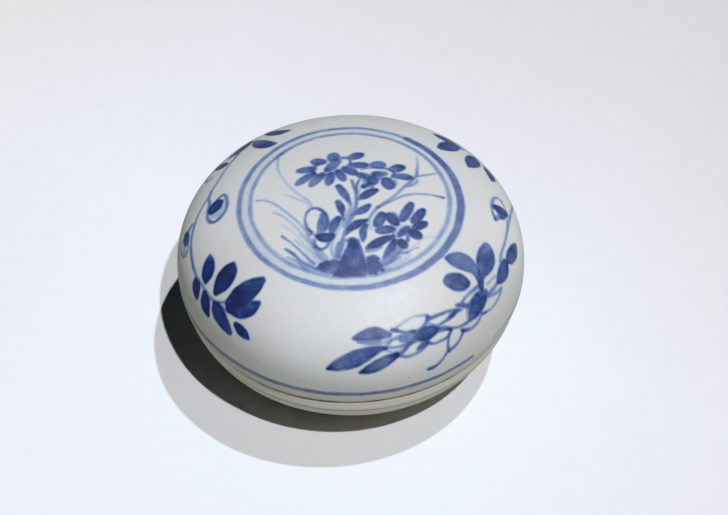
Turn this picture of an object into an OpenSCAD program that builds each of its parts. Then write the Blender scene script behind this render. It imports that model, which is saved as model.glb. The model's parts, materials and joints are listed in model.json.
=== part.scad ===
// Round porcelain trinket box: a low footed base and a domed lid that lifts off.
// Units are millimetres, +Z is up, and the origin is the centre of the foot ring on the table.
// Both pieces are turned about the Z axis, so each one is a single revolved outline.

/* [Box] */
// Diameter at the widest circle, which is on the lid
box_d = 80; // [60:1:110]
// Height of the line where the lid meets the base, above the table
seam_h = 22; // [16:0.5:28]
// How far the outer wall is drawn in at the meeting line
seam_inset = 0.6; // [0.2:0.1:1.5]
// Radius of the rounded edges on both sides of the meeting line
edge_r = 0.4; // [0.2:0.05:0.6]

/* [Lid] */
// Height from the meeting line up to the widest circle
skirt_h = 3.5; // [2.5:0.1:5]
// Height of the dome above the widest circle
dome_h = 20.8; // [14:0.1:30]
// How full the dome is: 2 is an ellipse, more is squarer
dome_fullness = 2.6; // [2:0.1:3.2]
// Thickness of the lid's wall
lid_wall = 3.2; // [2.6:0.1:4]

/* [Base] */
// How far the base's rim stands inside the lid's rim
base_inset = 0.3; // [0:0.1:0.8]
// How full the outer wall is: 2 is an ellipse, less is more conical
base_fullness = 1.9; // [1.6:0.1:2.4]
// Thickness of the floor over the foot's recess
floor_t = 3; // [2.4:0.1:4]
// How full the bowl inside is: 2 is an ellipse, more is squarer
bowl_fullness = 2.5; // [2:0.1:2.8]

/* [Locating flange] */
// Height of the flange that stands inside the lid's skirt
flange_h = 3; // [2:0.1:4]
// Thickness of the flange
flange_t = 1.8; // [1.4:0.1:2.6]
// Radial gap between the flange and the lid
flange_gap = 0.35; // [0.2:0.05:0.6]

/* [Foot] */
// Outer diameter of the foot ring
foot_d = 42; // [32:1:46]
// Width of the foot ring, from its outer side to its inner side
foot_w = 2.6; // [2:0.1:4]
// Height of the foot ring, inside and out
foot_h = 2; // [1:0.1:3]

/* [Hidden] */

$fn = 96;
dome_steps = 28;
wall_steps = 18;
bowl_steps = 20;
edge_steps = 4;

box_r = box_d / 2;
seam_r = box_r - seam_inset;
base_r = seam_r - base_inset;
widest_h = seam_h + skirt_h;

lid_in_r = box_r - lid_wall;
flange_r = lid_in_r - flange_gap;
flange_top = seam_h + flange_h;
bowl_r = flange_r - flange_t;
bowl_floor = foot_h + floor_t;
foot_r = foot_d / 2;

// The base's wall is a superellipse that starts upright at the meeting line
// and passes through the top of the foot ring, which sets its depth.
wall_curve_h = (seam_h - foot_h) / pow(1 - pow(foot_r / base_r, base_fullness), 1 / base_fullness);

porcelain = [0.85, 0.85, 0.84];
porcelain_shade = [0.80, 0.79, 0.77];

// A point of a superellipse with half sizes rx and rz, at angle a of its first quarter
function super_point(rx, rz, fullness, a) =
    [rx * pow(max(cos(a), 0), 2 / fullness), rz * pow(max(sin(a), 0), 2 / fullness)];

// A rounded corner of radius r about a centre, from angle a0 to a1
function corner(centre, r, a0, a1) =
    [for (i = [0 : edge_steps])
        let (a = a0 + (a1 - a0) * i / edge_steps)
        centre + r * [cos(a), sin(a)]];

// The skirt's outer line, from above the rounded edge up to just under the widest circle:
// the wall is drawn in as the square of its distance below that circle.
function skirt_r(z) = box_r - seam_inset * pow((widest_h - z) / skirt_h, 2);
function skirt_line(from_z) =
    [for (i = [1 : edge_steps])
        let (z = from_z + (widest_h - from_z) * i / (edge_steps + 1))
        [skirt_r(z), z]];

function dome_outside() =
    [for (i = [0 : dome_steps])
        [0, widest_h] + super_point(box_r, dome_h, dome_fullness, 90 * i / dome_steps)];

function dome_inside() =
    [for (i = [dome_steps : -1 : 0])
        [0, widest_h] + super_point(lid_in_r, dome_h - lid_wall, dome_fullness, 90 * i / dome_steps)];

function lid_outline() = concat(
    [[lid_in_r, seam_h]],
    corner([seam_r - edge_r, seam_h + edge_r], edge_r, -90, 0),
    skirt_line(seam_h + edge_r),
    dome_outside(),
    dome_inside()
);

// The wall's radius at height z
function wall_r(z) = base_r * pow(1 - pow((seam_h - z) / wall_curve_h, base_fullness), 1 / base_fullness);
function wall_line(from_z) =
    [for (i = [1 : wall_steps])
        let (z = from_z + (foot_h - from_z) * i / wall_steps)
        [wall_r(z), z]];

function bowl_line() =
    [for (i = [bowl_steps : -1 : 0])
        [0, seam_h] + super_point(bowl_r, bowl_floor - seam_h, bowl_fullness, 90 * i / bowl_steps)];

function foot_line() = concat(
    corner([foot_r - edge_r, edge_r], edge_r, 0, -90),
    corner([foot_r - foot_w + edge_r, edge_r], edge_r, -90, -180),
    [[foot_r - foot_w, foot_h], [0, foot_h]]
);

function flange_line() = concat(
    corner([bowl_r + edge_r, flange_top - edge_r], edge_r, 180, 90),
    corner([flange_r - edge_r, flange_top - edge_r], edge_r, 90, 0),
    [[flange_r, seam_h]]
);

function base_outline() = concat(
    bowl_line(),
    flange_line(),
    corner([base_r - edge_r, seam_h - edge_r], edge_r, 90, 0),
    wall_line(seam_h - edge_r),
    foot_line()
);

module base() {
    color(porcelain_shade)
        rotate_extrude()
            polygon(base_outline());
}

module lid() {
    color(porcelain)
        rotate_extrude()
            polygon(lid_outline());
}

base();
lid();
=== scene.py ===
# %% [markdown]
# # A small blue and white porcelain box
#
# The object is a round box for rings: a low base on a foot ring, and a domed lid that lifts off.
# Both pieces are white porcelain. A painter laid cobalt on the raw clay with a soft brush, the
# potter dipped each piece in clear glaze, and one firing joined body, blue and glaze.
#
# The fixed frame comes first. It holds the two turned solids at their true size and place, and
# everything below takes its measures from them, so nothing has to be fitted by eye.

# %% The frame
import json
import math

import bpy
import numpy as np
from mathutils import Matrix, Vector

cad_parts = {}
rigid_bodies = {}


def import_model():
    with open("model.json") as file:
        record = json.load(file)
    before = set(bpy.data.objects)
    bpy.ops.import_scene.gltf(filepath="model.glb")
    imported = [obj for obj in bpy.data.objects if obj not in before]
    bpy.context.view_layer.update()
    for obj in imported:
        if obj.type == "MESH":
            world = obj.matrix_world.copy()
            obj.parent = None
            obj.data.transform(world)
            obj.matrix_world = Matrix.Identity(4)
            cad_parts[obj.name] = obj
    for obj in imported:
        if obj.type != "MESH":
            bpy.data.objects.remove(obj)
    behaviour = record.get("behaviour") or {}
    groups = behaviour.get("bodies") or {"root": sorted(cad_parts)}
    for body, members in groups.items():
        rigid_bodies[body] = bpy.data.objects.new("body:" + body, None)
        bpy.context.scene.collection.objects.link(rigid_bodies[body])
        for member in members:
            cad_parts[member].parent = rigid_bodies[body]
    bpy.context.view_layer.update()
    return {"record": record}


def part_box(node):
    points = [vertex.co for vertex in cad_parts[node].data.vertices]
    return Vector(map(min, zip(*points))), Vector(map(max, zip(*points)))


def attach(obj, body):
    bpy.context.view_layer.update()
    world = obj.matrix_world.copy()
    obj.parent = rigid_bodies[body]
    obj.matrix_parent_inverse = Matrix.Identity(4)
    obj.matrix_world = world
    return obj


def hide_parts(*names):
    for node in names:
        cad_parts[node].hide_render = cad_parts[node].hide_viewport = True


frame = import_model()
MM = 0.001

# %% [markdown]
# ## The measures of the two pieces
#
# A turned piece is one outline swept round an axis. The lid's dome is a superellipse, which is
# an ellipse with an exponent a little over 2, so its shoulder is fuller. Under the widest circle
# the wall tucks in to the rim. The frame gives the heights and radii, and a few named values
# give the character of the curves, in millimetres.

# %% Measures
lid_low, lid_high = [np.array(corner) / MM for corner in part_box("lid")]
base_low, base_high = [np.array(corner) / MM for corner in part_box("base")]

BOX_R = (lid_high[0] - lid_low[0]) / 2
SEAM_Z = lid_low[2]
TOP_Z = lid_high[2]
SKIRT_H = 3.5
SEAM_INSET = 0.6
WIDEST_Z = SEAM_Z + SKIRT_H
DOME_H = TOP_Z - WIDEST_Z
DOME_FULLNESS = 2.6
LID_WALL = 3.2
EDGE_R = 0.4
LID_RIM_R = BOX_R - SEAM_INSET
LID_IN_R = BOX_R - LID_WALL

BASE_R = (base_high[0] - base_low[0]) / 2
FLANGE_TOP = base_high[2]
BASE_FULLNESS = 1.9
FLANGE_R = LID_IN_R - 0.35
BOWL_R = FLANGE_R - 1.8
BOWL_FULLNESS = 2.5
FOOT_R = 21.0
FOOT_IN_R = 18.4
FOOT_H = 2.0
BOWL_FLOOR = FOOT_H + 3.0
print(f"lid radius {BOX_R:.1f} mm, dome {DOME_H:.1f} mm high, lid meets base at {SEAM_Z:.1f} mm")


# %% [markdown]
# ## Outlines
#
# Each outline is a list of (radius, height) points. The same small helpers draw both pieces:
# a superellipse quarter, and a rounded corner for the edges that a potter's sponge softens.


# %% Outline helpers
def super_quarter(rx, rz, fullness, steps):
    """Points from the axis out to radius rx on a quarter of a superellipse, as rows (r, z)."""
    a = np.linspace(math.pi / 2, 0, steps)
    r = rx * np.clip(np.cos(a), 0, 1) ** (2 / fullness)
    z = rz * np.clip(np.sin(a), 0, 1) ** (2 / fullness)
    return np.column_stack([r, z])


def corner(r, z, radius, start, stop, steps=6):
    """A rounded corner about (r, z), from angle start to stop in degrees."""
    a = np.radians(np.linspace(start, stop, steps))
    return np.column_stack([r + radius * np.cos(a), z + radius * np.sin(a)])


def resample(outline, step):
    """The same outline with points every step along it. Its two ends stay."""
    legs = np.hypot(*np.diff(outline, axis=0).T)
    along = np.concatenate([[0], np.cumsum(legs)])
    count = max(2, int(round(along[-1] / step)) + 1)
    at = np.linspace(0, along[-1], count)
    return np.column_stack([np.interp(at, along, outline[:, 0]), np.interp(at, along, outline[:, 1])])


def arc_lengths(outline):
    """How far along the outline each point is."""
    return np.concatenate([[0], np.cumsum(np.hypot(*np.diff(outline, axis=0).T))])


# %% The lid's outer outline, from the top of the dome down to the rounded edge
dome = super_quarter(BOX_R, DOME_H, DOME_FULLNESS, 4000) + [0, WIDEST_Z]
skirt_z = np.linspace(WIDEST_Z, SEAM_Z + EDGE_R, 200)[1:]
skirt = np.column_stack([BOX_R - SEAM_INSET * ((WIDEST_Z - skirt_z) / SKIRT_H) ** 2, skirt_z])
lid_outer = np.vstack([dome, skirt])
lid_along = arc_lengths(lid_outer)
DISC_R = lid_along[-1]
print(f"the lid's outside unrolls to a disc of radius {DISC_R:.1f} mm")


# %% [markdown]
# ## Painting on an unrolled lid
#
# The painter held the lid by its rim and worked from the middle outwards. We do the same on
# paper: the outside of the lid is unrolled into a flat disc, where the distance from the middle
# is the distance walked down the dome. A place on the disc is (u, v) in millimetres, with u to
# the right and v away from us, and each brush stroke is a short list of places with a width.
#
# The blue could be a picture wrapped round the lid, but a picture has one fixed sharpness. Here
# the strokes are worked out as amounts of cobalt at the mesh's own points, and the mesh is made
# finer along every stroke's edge. Then the blue is as sharp as the eye needs, close up too.


# %% From disc to dome
def on_lid(uv):
    """Places on the unrolled disc, as points on the lid and the outward directions there."""
    walked = np.hypot(uv[:, 0], uv[:, 1])
    angle = np.arctan2(uv[:, 1], uv[:, 0])
    r = np.interp(walked, lid_along, lid_outer[:, 0])
    z = np.interp(walked, lid_along, lid_outer[:, 1])
    slope_r = np.interp(walked, lid_along, np.gradient(lid_outer[:, 0], lid_along))
    slope_z = np.interp(walked, lid_along, np.gradient(lid_outer[:, 1], lid_along))
    points = np.column_stack([r * np.cos(angle), r * np.sin(angle), z])
    outward = np.column_stack([-slope_z * np.cos(angle), -slope_z * np.sin(angle), slope_r])
    outward /= np.linalg.norm(outward, axis=1, keepdims=True)
    return points, outward


# %% [markdown]
# ## The brush
#
# In the kiln the glaze draws the blue out a little, so the edge of a stroke fades over `SOFT_EDGE`
# millimetres. A darker rim shows where the wet colour pooled. `brush` keeps one stroke: its path,
# its half widths, and its load of cobalt from 0 (none) to 1 (as dark as it gets). A curve
# through the points stands for the hand's movement. Where strokes cross, `OVERLAP` says how
# much of the lighter one shows through the heavier one.


# %% Brush strokes
STROKES = []
SAMPLES = 7
THINNEST = 0.05
SOFT_EDGE = 0.8
OVERLAP = 0.3
POOL_DEPTH = 0.3
POOL_WIDTH = 0.4
DARKEST = 0.98


def through(values, per_span):
    """A smooth curve through the given rows (a Catmull-Rom spline), per_span samples to a span."""
    rows = np.atleast_2d(np.asarray(values, float).T).T
    padded = np.vstack([2 * rows[0] - rows[1], rows, 2 * rows[-1] - rows[-2]])
    t = np.linspace(0, 1, per_span, endpoint=False)[:, None]
    spans = []
    for p0, p1, p2, p3 in zip(padded[:-3], padded[1:-2], padded[2:-1], padded[3:]):
        bend = 2 * p0 - 5 * p1 + 4 * p2 - p3
        spans.append(0.5 * (2 * p1 + (p2 - p0) * t + bend * t**2 + (3 * p1 - p0 - 3 * p2 + p3) * t**3))
    return np.vstack(spans + [rows[-1:]])


def spread(value, count):
    """One number or a list, as count numbers spread evenly along a stroke."""
    value = np.atleast_1d(np.asarray(value, float))
    return np.interp(np.linspace(0, 1, count), np.linspace(0, 1, len(value)), value)


def brush(path, half_width, load, pool=0.0, streak=0.03):
    """Adds one stroke. half_width and load are one number, or several spread along the path."""
    line = through(path, SAMPLES)
    widths = through(spread(half_width, len(path))[:, None], SAMPLES)[:, 0]
    STROKES.append(
        {
            "line": line,
            "half": np.maximum(widths, THINNEST),
            "load": spread(load, len(line)),
            "pool": pool,
            "streak": streak,
        }
    )


def leaf(path, half_width, load):
    """A pressed stroke: it swells and closes, and its rim dries darker."""
    brush(path, np.array(half_width) + 0.03, load, pool=0.12)


def petal(root, tip, half_width, load):
    """A short fat dab from root to tip, with a round end."""
    root, tip = np.array(root, float), np.array(tip, float)
    way = (tip - root) / np.linalg.norm(tip - root)
    ends = [root + 0.5 * half_width * way, tip - 0.8 * half_width * way]
    path = [ends[0] + (ends[1] - ends[0]) * t for t in (0, 0.36, 0.72, 1)]
    half_width = half_width + 0.1
    brush(path, [0.74 * half_width, half_width, 0.98 * half_width, 0.66 * half_width], load, pool=0.1)


def turn(centre, radii, tilt, start, stop, half_width, load, steps=9):
    """A curved outline: part of an ellipse about centre, tilted, from start to stop in degrees."""
    a = np.radians(np.linspace(start, stop, steps))
    c, s = math.cos(math.radians(tilt)), math.sin(math.radians(tilt))
    x, y = radii[0] * np.cos(a), radii[1] * np.sin(a)
    brush(np.column_stack([centre[0] + c * x - s * y, centre[1] + s * x + c * y]), half_width, load)


# %% [markdown]
# ### Rings
#
# Two rings frame the middle of the lid. The outer one is a single loaded pull of the brush: it
# starts dark at the upper right, runs clockwise and thins out until it meets its own start.
# The inner one is paler and finer. A last line runs round the lid just above its rim.

# %% Rings
OUTER_RING = 25.2
INNER_RING = 22.6
EDGE_LINE = 50.9
turn((0, 0), (OUTER_RING, OUTER_RING), 0, 58, -302,
     [0.85, 0.98, 0.98, 0.9, 0.78, 0.68, 0.64, 0.66, 0.68, 0.66, 0.62, 0.56],
     [0.62, 0.58, 0.57, 0.55, 0.53, 0.46, 0.42, 0.42, 0.44, 0.45, 0.4, 0.38], 49)
turn((0, 0), (INNER_RING, INNER_RING), 0, 118, -242, [0.56, 0.58, 0.62, 0.6, 0.56, 0.56, 0.56],
     [0.36, 0.38, 0.36, 0.32, 0.32, 0.36, 0.4], 49)
turn((0, 0), (INNER_RING, INNER_RING), 0, 139, 127, 0.5, [0.35, 0.52, 0.3], 4)
turn((0, 0), (23.9, 23.9), 0, 0, 360, 1.2, [0.1, 0.06, 0.05, 0.08, 0.1, 0.13, 0.1, 0.09, 0.1], 49)
turn((0, 0), (EDGE_LINE, EDGE_LINE), 0, -48.3, -398, [0.46, 0.62, 0.66, 0.62, 0.52, 0.44],
     [0.52, 0.46, 0.42, 0.42, 0.4, 0.4, 0.3, 0.16], 73)
turn((0, 0.1), (EDGE_LINE, EDGE_LINE), 0, -70, -82, 0.3, [0.1, 0.24, 0.1], 4)
print(len(STROKES), "strokes in the rings and the edge line")

# %% [markdown]
# ### The middle: a flowering plant by a rock
#
# A chrysanthemum grows from a dark rock. Each flower is a ring of dabs round an oval heart, each
# leaf is one pressed stroke, and the grass is pulled with the brush's point.


# %% Upper left flower
def upper_left_flower():
    petal((-3.7, 12.0), (-3.4, 15.1), 1.38, [0.66, 0.58, 0.56])
    petal((-5.3, 11.8), (-9.0, 12.3), 1.15, [0.66, 0.58, 0.58])
    petal((-7.6, 9.8), (-12.2, 9.2), 1.0, [0.66, 0.62, 0.66])
    petal((-7.8, 8.4), (-12.4, 4.5), 0.98, [0.62, 0.52, 0.52])
    petal((-5.8, 8.0), (-9.1, 3.7), 1.04, [0.6, 0.52, 0.56])
    petal((-4.0, 8.0), (-4.9, 3.7), 0.98, [0.66, 0.62, 0.54])
    petal((-2.8, 8.8), (-1.0, 5.0), 1.0, [0.62, 0.6, 0.6])
    petal((-1.4, 9.6), (2.1, 7.1), 1.08, [0.64, 0.68, 0.74])
    petal((0.2, 10.4), (4.7, 10.3), 1.02, [0.62, 0.64, 0.68])
    petal((0.0, 12.9), (3.6, 14.5), 1.1, [0.54, 0.68, 0.84])
    brush([(-1.8, 12.9), (-0.6, 13.0), (0.6, 13.2)], 0.46, 0.56)
    brush([(-1.4, 13.0), (0.0, 12.5), (0.3, 11.1), (-0.6, 9.8)], 0.34, [0.5, 0.64, 0.58])
    brush([(-7.2, 11.2), (-8.2, 9.8), (-8.2, 8.2), (-6.8, 7.4), (-4.6, 7.6), (-2.4, 8.6)], 0.42,
          [0.66, 0.66, 0.56, 0.5])
    turn((-4.6, 9.9), (4.3, 2.7), 24, 110, 320, 0.75, 0.32, 11)
    brush([(-4.9, 9.1), (-3.8, 10.3), (-2.8, 11.7)], [1.0, 1.35, 1.15], [0.64, 0.56, 0.58])
    brush([(-5.2, 9.5), (-4.8, 9.1)], 0.5, 0.4)
    brush([(-3.3, 12.7), (-2.9, 12.6)], 0.4, 0.4)


# %% Upper right flower
def upper_right_flower():
    petal((4.9, 10.3), (8.6, 10.5), 1.22, [0.64, 0.62, 0.66])
    petal((9.2, 8.9), (13.0, 10.1), 1.22, [0.54, 0.66, 0.78])
    petal((9.7, 7.0), (14.7, 6.2), 1.0, [0.54, 0.6, 0.74])
    petal((8.0, 5.9), (9.7, 2.2), 1.45, [0.64, 0.68, 0.7])
    petal((5.2, 6.6), (5.4, 3.6), 1.3, [0.6, 0.66, 0.66])
    brush([(10.3, 5.4), (10.6, 4.2), (10.1, 3.0)], 0.36, 0.42)
    brush([(2.9, 8.9), (4.2, 9.3), (6.6, 9.3), (8.6, 9.1), (9.9, 8.2), (10.2, 7.0), (9.3, 6.0)], 0.36,
          [0.4, 0.46, 0.56, 0.66, 0.66, 0.56, 0.46])
    brush([(2.6, 6.9), (3.8, 6.5), (5.2, 6.1), (7.4, 5.8), (8.8, 5.8)], [1.0, 1.0, 0.7, 0.42, 0.42],
          [0.62, 0.56, 0.52, 0.5, 0.46])
    brush([(5.7, 7.3), (6.8, 7.3), (8.1, 7.5)], [0.8, 1.05, 0.75], [0.66, 0.6, 0.5])
    brush([(5.9, 7.6), (6.6, 7.6)], 0.42, 0.36)
    brush([(3.2, 3.2), (4.2, 3.9)], 0.75, 0.72)
    brush([(3.6, 5.2), (4.6, 5.0)], 0.8, 0.36)


# %% Lower right flower
def lower_right_flower():
    petal((11.5, -7.1), (14.0, -1.2), 1.1, [0.7, 0.68, 0.66])
    petal((14.0, -7.6), (16.7, -3.0), 1.1, [0.68, 0.8, 0.88])
    petal((13.9, -9.3), (17.4, -7.1), 1.05, [0.72, 0.82, 0.86])
    petal((13.2, -9.9), (15.9, -12.0), 1.16, [0.9, 0.9, 0.8])
    petal((10.9, -12.5), (12.3, -15.1), 1.05, [0.84, 0.8, 0.76])
    leaf([(9.8, -12.6), (9.2, -14.4), (8.1, -16.0), (7.2, -17.6)], [0.55, 0.98, 0.75, 0.4],
         [0.8, 0.76, 0.6, 0.5])
    leaf([(9.5, -11.6), (7.6, -12.5), (5.6, -13.8), (3.7, -15.0)], [0.5, 0.94, 1.15, 0.6],
         [0.74, 0.8, 0.74, 0.66])
    petal((9.6, -9.4), (5.3, -10.3), 1.15, [0.7, 0.68, 0.62])
    petal((7.4, -4.9), (5.5, -9.3), 1.2, [0.72, 0.7, 0.66])
    petal((8.4, -5.2), (10.7, -8.6), 1.25, [0.66, 0.76, 0.86])
    brush([(6.6, -5.0), (8.2, -5.3), (9.8, -5.0), (10.7, -6.2)], 0.4, [0.3, 0.36, 0.5, 0.56])
    brush([(11.3, -7.4), (12.4, -6.6), (13.9, -6.4), (14.2, -8.0), (13.8, -9.4)], 0.32,
          [0.3, 0.34, 0.5, 0.46, 0.44])
    brush([(9.7, -8.9), (9.4, -10.6), (9.4, -12.2), (10.4, -13.2), (11.6, -12.9)], 0.36,
          [0.44, 0.46, 0.6, 0.6, 0.62])
    brush([(10.9, -11.2), (11.8, -10.1), (12.7, -9.2)], [0.7, 1.08, 0.85], [0.66, 0.74, 0.7])
    brush([(12.4, -8.2), (10.8, -8.6), (10.0, -9.8), (9.9, -11.4), (10.6, -12.3)], 0.42,
          [0.14, 0.26, 0.3, 0.26, 0.2])
    brush([(12.9, -10.6), (12.7, -11.6), (12.6, -12.8)], 0.5, 0.6)
    brush([(10.8, -14.6), (10.0, -15.8), (8.6, -17.4), (7.4, -18.8)], [0.9, 1.1, 1.2, 1.1], 0.42)


# %% Stem and leaves of the plant
def stem_and_leaves():
    brush([(2.3, 5.6), (1.5, 3.2), (1.6, 0.4), (1.4, -2.4), (0.6, -5.4), (-0.9, -9.4), (-2.0, -13.4),
           (-2.7, -17.2)], [0.32, 0.42, 0.46, 0.5, 0.62, 0.5, 0.5, 0.6],
          [0.5, 0.56, 0.56, 0.46, 0.4, 0.42, 0.44, 0.5])
    brush([(0.5, 5.4), (0.9, 3.4), (1.4, 1.4)], 0.36, 0.54)
    brush([(3.4, 5.0), (2.5, 3.0), (2.0, 1.0)], 0.26, 0.3)
    brush([(3.2, 6.6), (4.0, 5.3), (5.0, 3.6), (4.9, 2.0)], [0.6, 0.7, 0.6, 0.5],
          [0.54, 0.4, 0.44, 0.56])
    brush([(3.2, 3.2), (4.0, 3.6)], 0.42, 0.5)
    leaf([(0.1, -2.6), (-0.3, -1.0), (-1.2, 1.2), (-2.4, 3.5)], [0.26, 0.55, 0.98, 0.78],
         [0.48, 0.66, 0.66, 0.68])
    leaf([(2.2, -0.6), (3.2, 0.2), (4.4, 1.2), (5.9, 2.1)], [0.4, 0.95, 1.1, 0.6],
         [0.56, 0.74, 0.8, 0.84])
    leaf([(-1.4, -7.0), (-1.7, -5.2), (-2.0, -3.4), (-2.6, -1.4)], [0.25, 0.42, 0.9, 0.8],
         [0.52, 0.66, 0.66, 0.6])
    leaf([(0.2, -5.6), (1.4, -4.9), (2.9, -3.9), (4.3, -2.6)], [0.35, 0.6, 1.05, 0.6],
         [0.36, 0.52, 0.68, 0.78])
    leaf([(-4.3, -11.2), (-4.0, -9.6), (-3.4, -7.8), (-2.6, -6.5)], [0.4, 0.9, 1.1, 0.8],
         [0.54, 0.6, 0.62, 0.76])
    leaf([(-1.2, -11.2), (-0.1, -9.6), (1.6, -8.1), (3.6, -7.0)], [0.35, 0.75, 1.1, 0.5],
         [0.5, 0.66, 0.76, 0.72])
    leaf([(3.5, -8.5), (2.9, -10.0), (2.8, -11.6), (2.7, -13.0)], [0.55, 0.86, 0.78, 0.4],
         [0.74, 0.72, 0.64, 0.6])
    brush([(0.4, -1.6), (0.0, -4.0), (-0.6, -6.4), (-1.4, -8.8)], [0.3, 0.6, 0.8, 0.6], 0.32)
    brush([(-1.8, -7.6), (-3.0, -10.4), (-4.0, -13.4), (-4.2, -16.6)], 0.42, [0.28, 0.28, 0.28, 0.32])


# %% Bud on the left
def left_bud():
    turn((-7.5, -6.9), (2.55, 3.85), 8, 232, -48, [0.42, 0.4, 0.34, 0.36, 0.42, 0.46, 0.4, 0.36],
         [0.76, 0.56, 0.48, 0.56, 0.7, 0.76, 0.66, 0.5], 11)
    brush([(-5.9, -5.3), (-6.1, -7.4), (-6.3, -9.0), (-6.6, -10.4)], [0.85, 1.25, 1.25, 0.8],
          [0.64, 0.58, 0.56, 0.5])
    brush([(-9.4, -10.6), (-8.2, -10.8), (-7.2, -10.6)], 0.3, 0.46)
    leaf([(-7.2, -11.3), (-6.2, -11.7), (-5.0, -11.9), (-4.1, -11.4)], [0.6, 1.2, 1.3, 0.75],
         [0.86, 0.84, 0.8, 0.9])
    brush([(-8.0, -12.2), (-7.8, -13.8), (-6.7, -15.1), (-5.4, -14.6), (-4.7, -13.2)], 0.44,
          [0.4, 0.56, 0.64, 0.5, 0.54])
    brush([(-7.2, -15.0), (-6.4, -16.8), (-5.2, -18.4)], [0.6, 1.0, 1.0], 0.3)
    brush([(-9.4, -11.6), (-8.4, -14.0), (-6.4, -17.0)], [0.4, 0.8, 0.9], 0.2)


# %% Rock
def rock():
    brush([(0.3, -13.0), (0.5, -15.2), (0.2, -17.6), (0.0, -19.4)], [0.9, 1.6, 2.2, 2.5],
          [0.74, 0.72, 0.7, 0.7])
    brush([(-2.2, -20.6), (0.0, -20.9), (2.2, -20.6)], 1.15, 0.7)
    brush([(-3.6, -21.8), (-0.6, -22.1), (3.0, -22.0)], [0.5, 0.6, 0.5], 0.74)
    brush([(1.5, -13.4), (2.0, -16.0), (2.8, -19.0), (3.2, -21.2)], [0.5, 0.7, 0.7, 0.5], 0.72)
    brush([(-0.6, -12.9), (0.4, -12.3), (1.5, -12.9)], 0.5, 0.6)
    brush([(0.5, -13.2), (0.7, -15.0), (0.8, -17.4)], [0.7, 0.9, 0.7], [0.8, 0.76, 0.72])
    brush([(-1.6, -17.2), (-2.3, -19.2), (-3.2, -21.2)], [0.5, 0.7, 0.6], 0.62)
    brush([(-1.6, -12.6), (-2.3, -14.2), (-2.8, -16.4), (-3.6, -17.8)], [0.6, 0.95, 0.9, 0.7],
          [0.42, 0.46, 0.4, 0.36])
    brush([(-2.6, -18.9), (-4.2, -19.2), (-6.0, -19.6), (-7.2, -20.1)], [0.9, 1.25, 1.15, 0.6],
          [0.68, 0.64, 0.64, 0.6])
    brush([(-3.4, -21.0), (-5.0, -20.9), (-6.4, -20.8)], [0.7, 0.7, 0.45], 0.54)
    brush([(-6.5, -19.1), (-6.2, -19.8)], 0.55, 0.72)
    brush([(-5.5, -18.4), (-5.0, -18.9)], 0.5, 0.7)
    brush([(-3.8, -18.4), (-3.4, -19.4)], 0.5, 0.66)
    brush([(4.0, -17.7), (5.0, -17.5), (5.8, -17.8)], [0.6, 0.75, 0.6], 0.68)
    brush([(4.2, -18.2), (4.3, -20.0), (4.2, -21.4)], [0.85, 0.95, 0.7], 0.74)
    brush([(5.3, -18.2), (5.5, -20.0), (5.3, -21.3)], [0.85, 0.95, 0.7], 0.72)
    brush([(5.9, -18.8), (6.4, -20.0), (7.0, -20.8)], [0.6, 0.8, 0.5], [0.64, 0.72, 0.68])
    brush([(-12.8, -18.0), (-9.6, -18.8), (-6.8, -19.8)], [1.0, 1.4, 1.0], 0.17)
    brush([(7.0, -19.6), (10.0, -19.2), (13.0, -17.4)], [1.2, 1.2, 0.6], 0.2)


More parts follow.
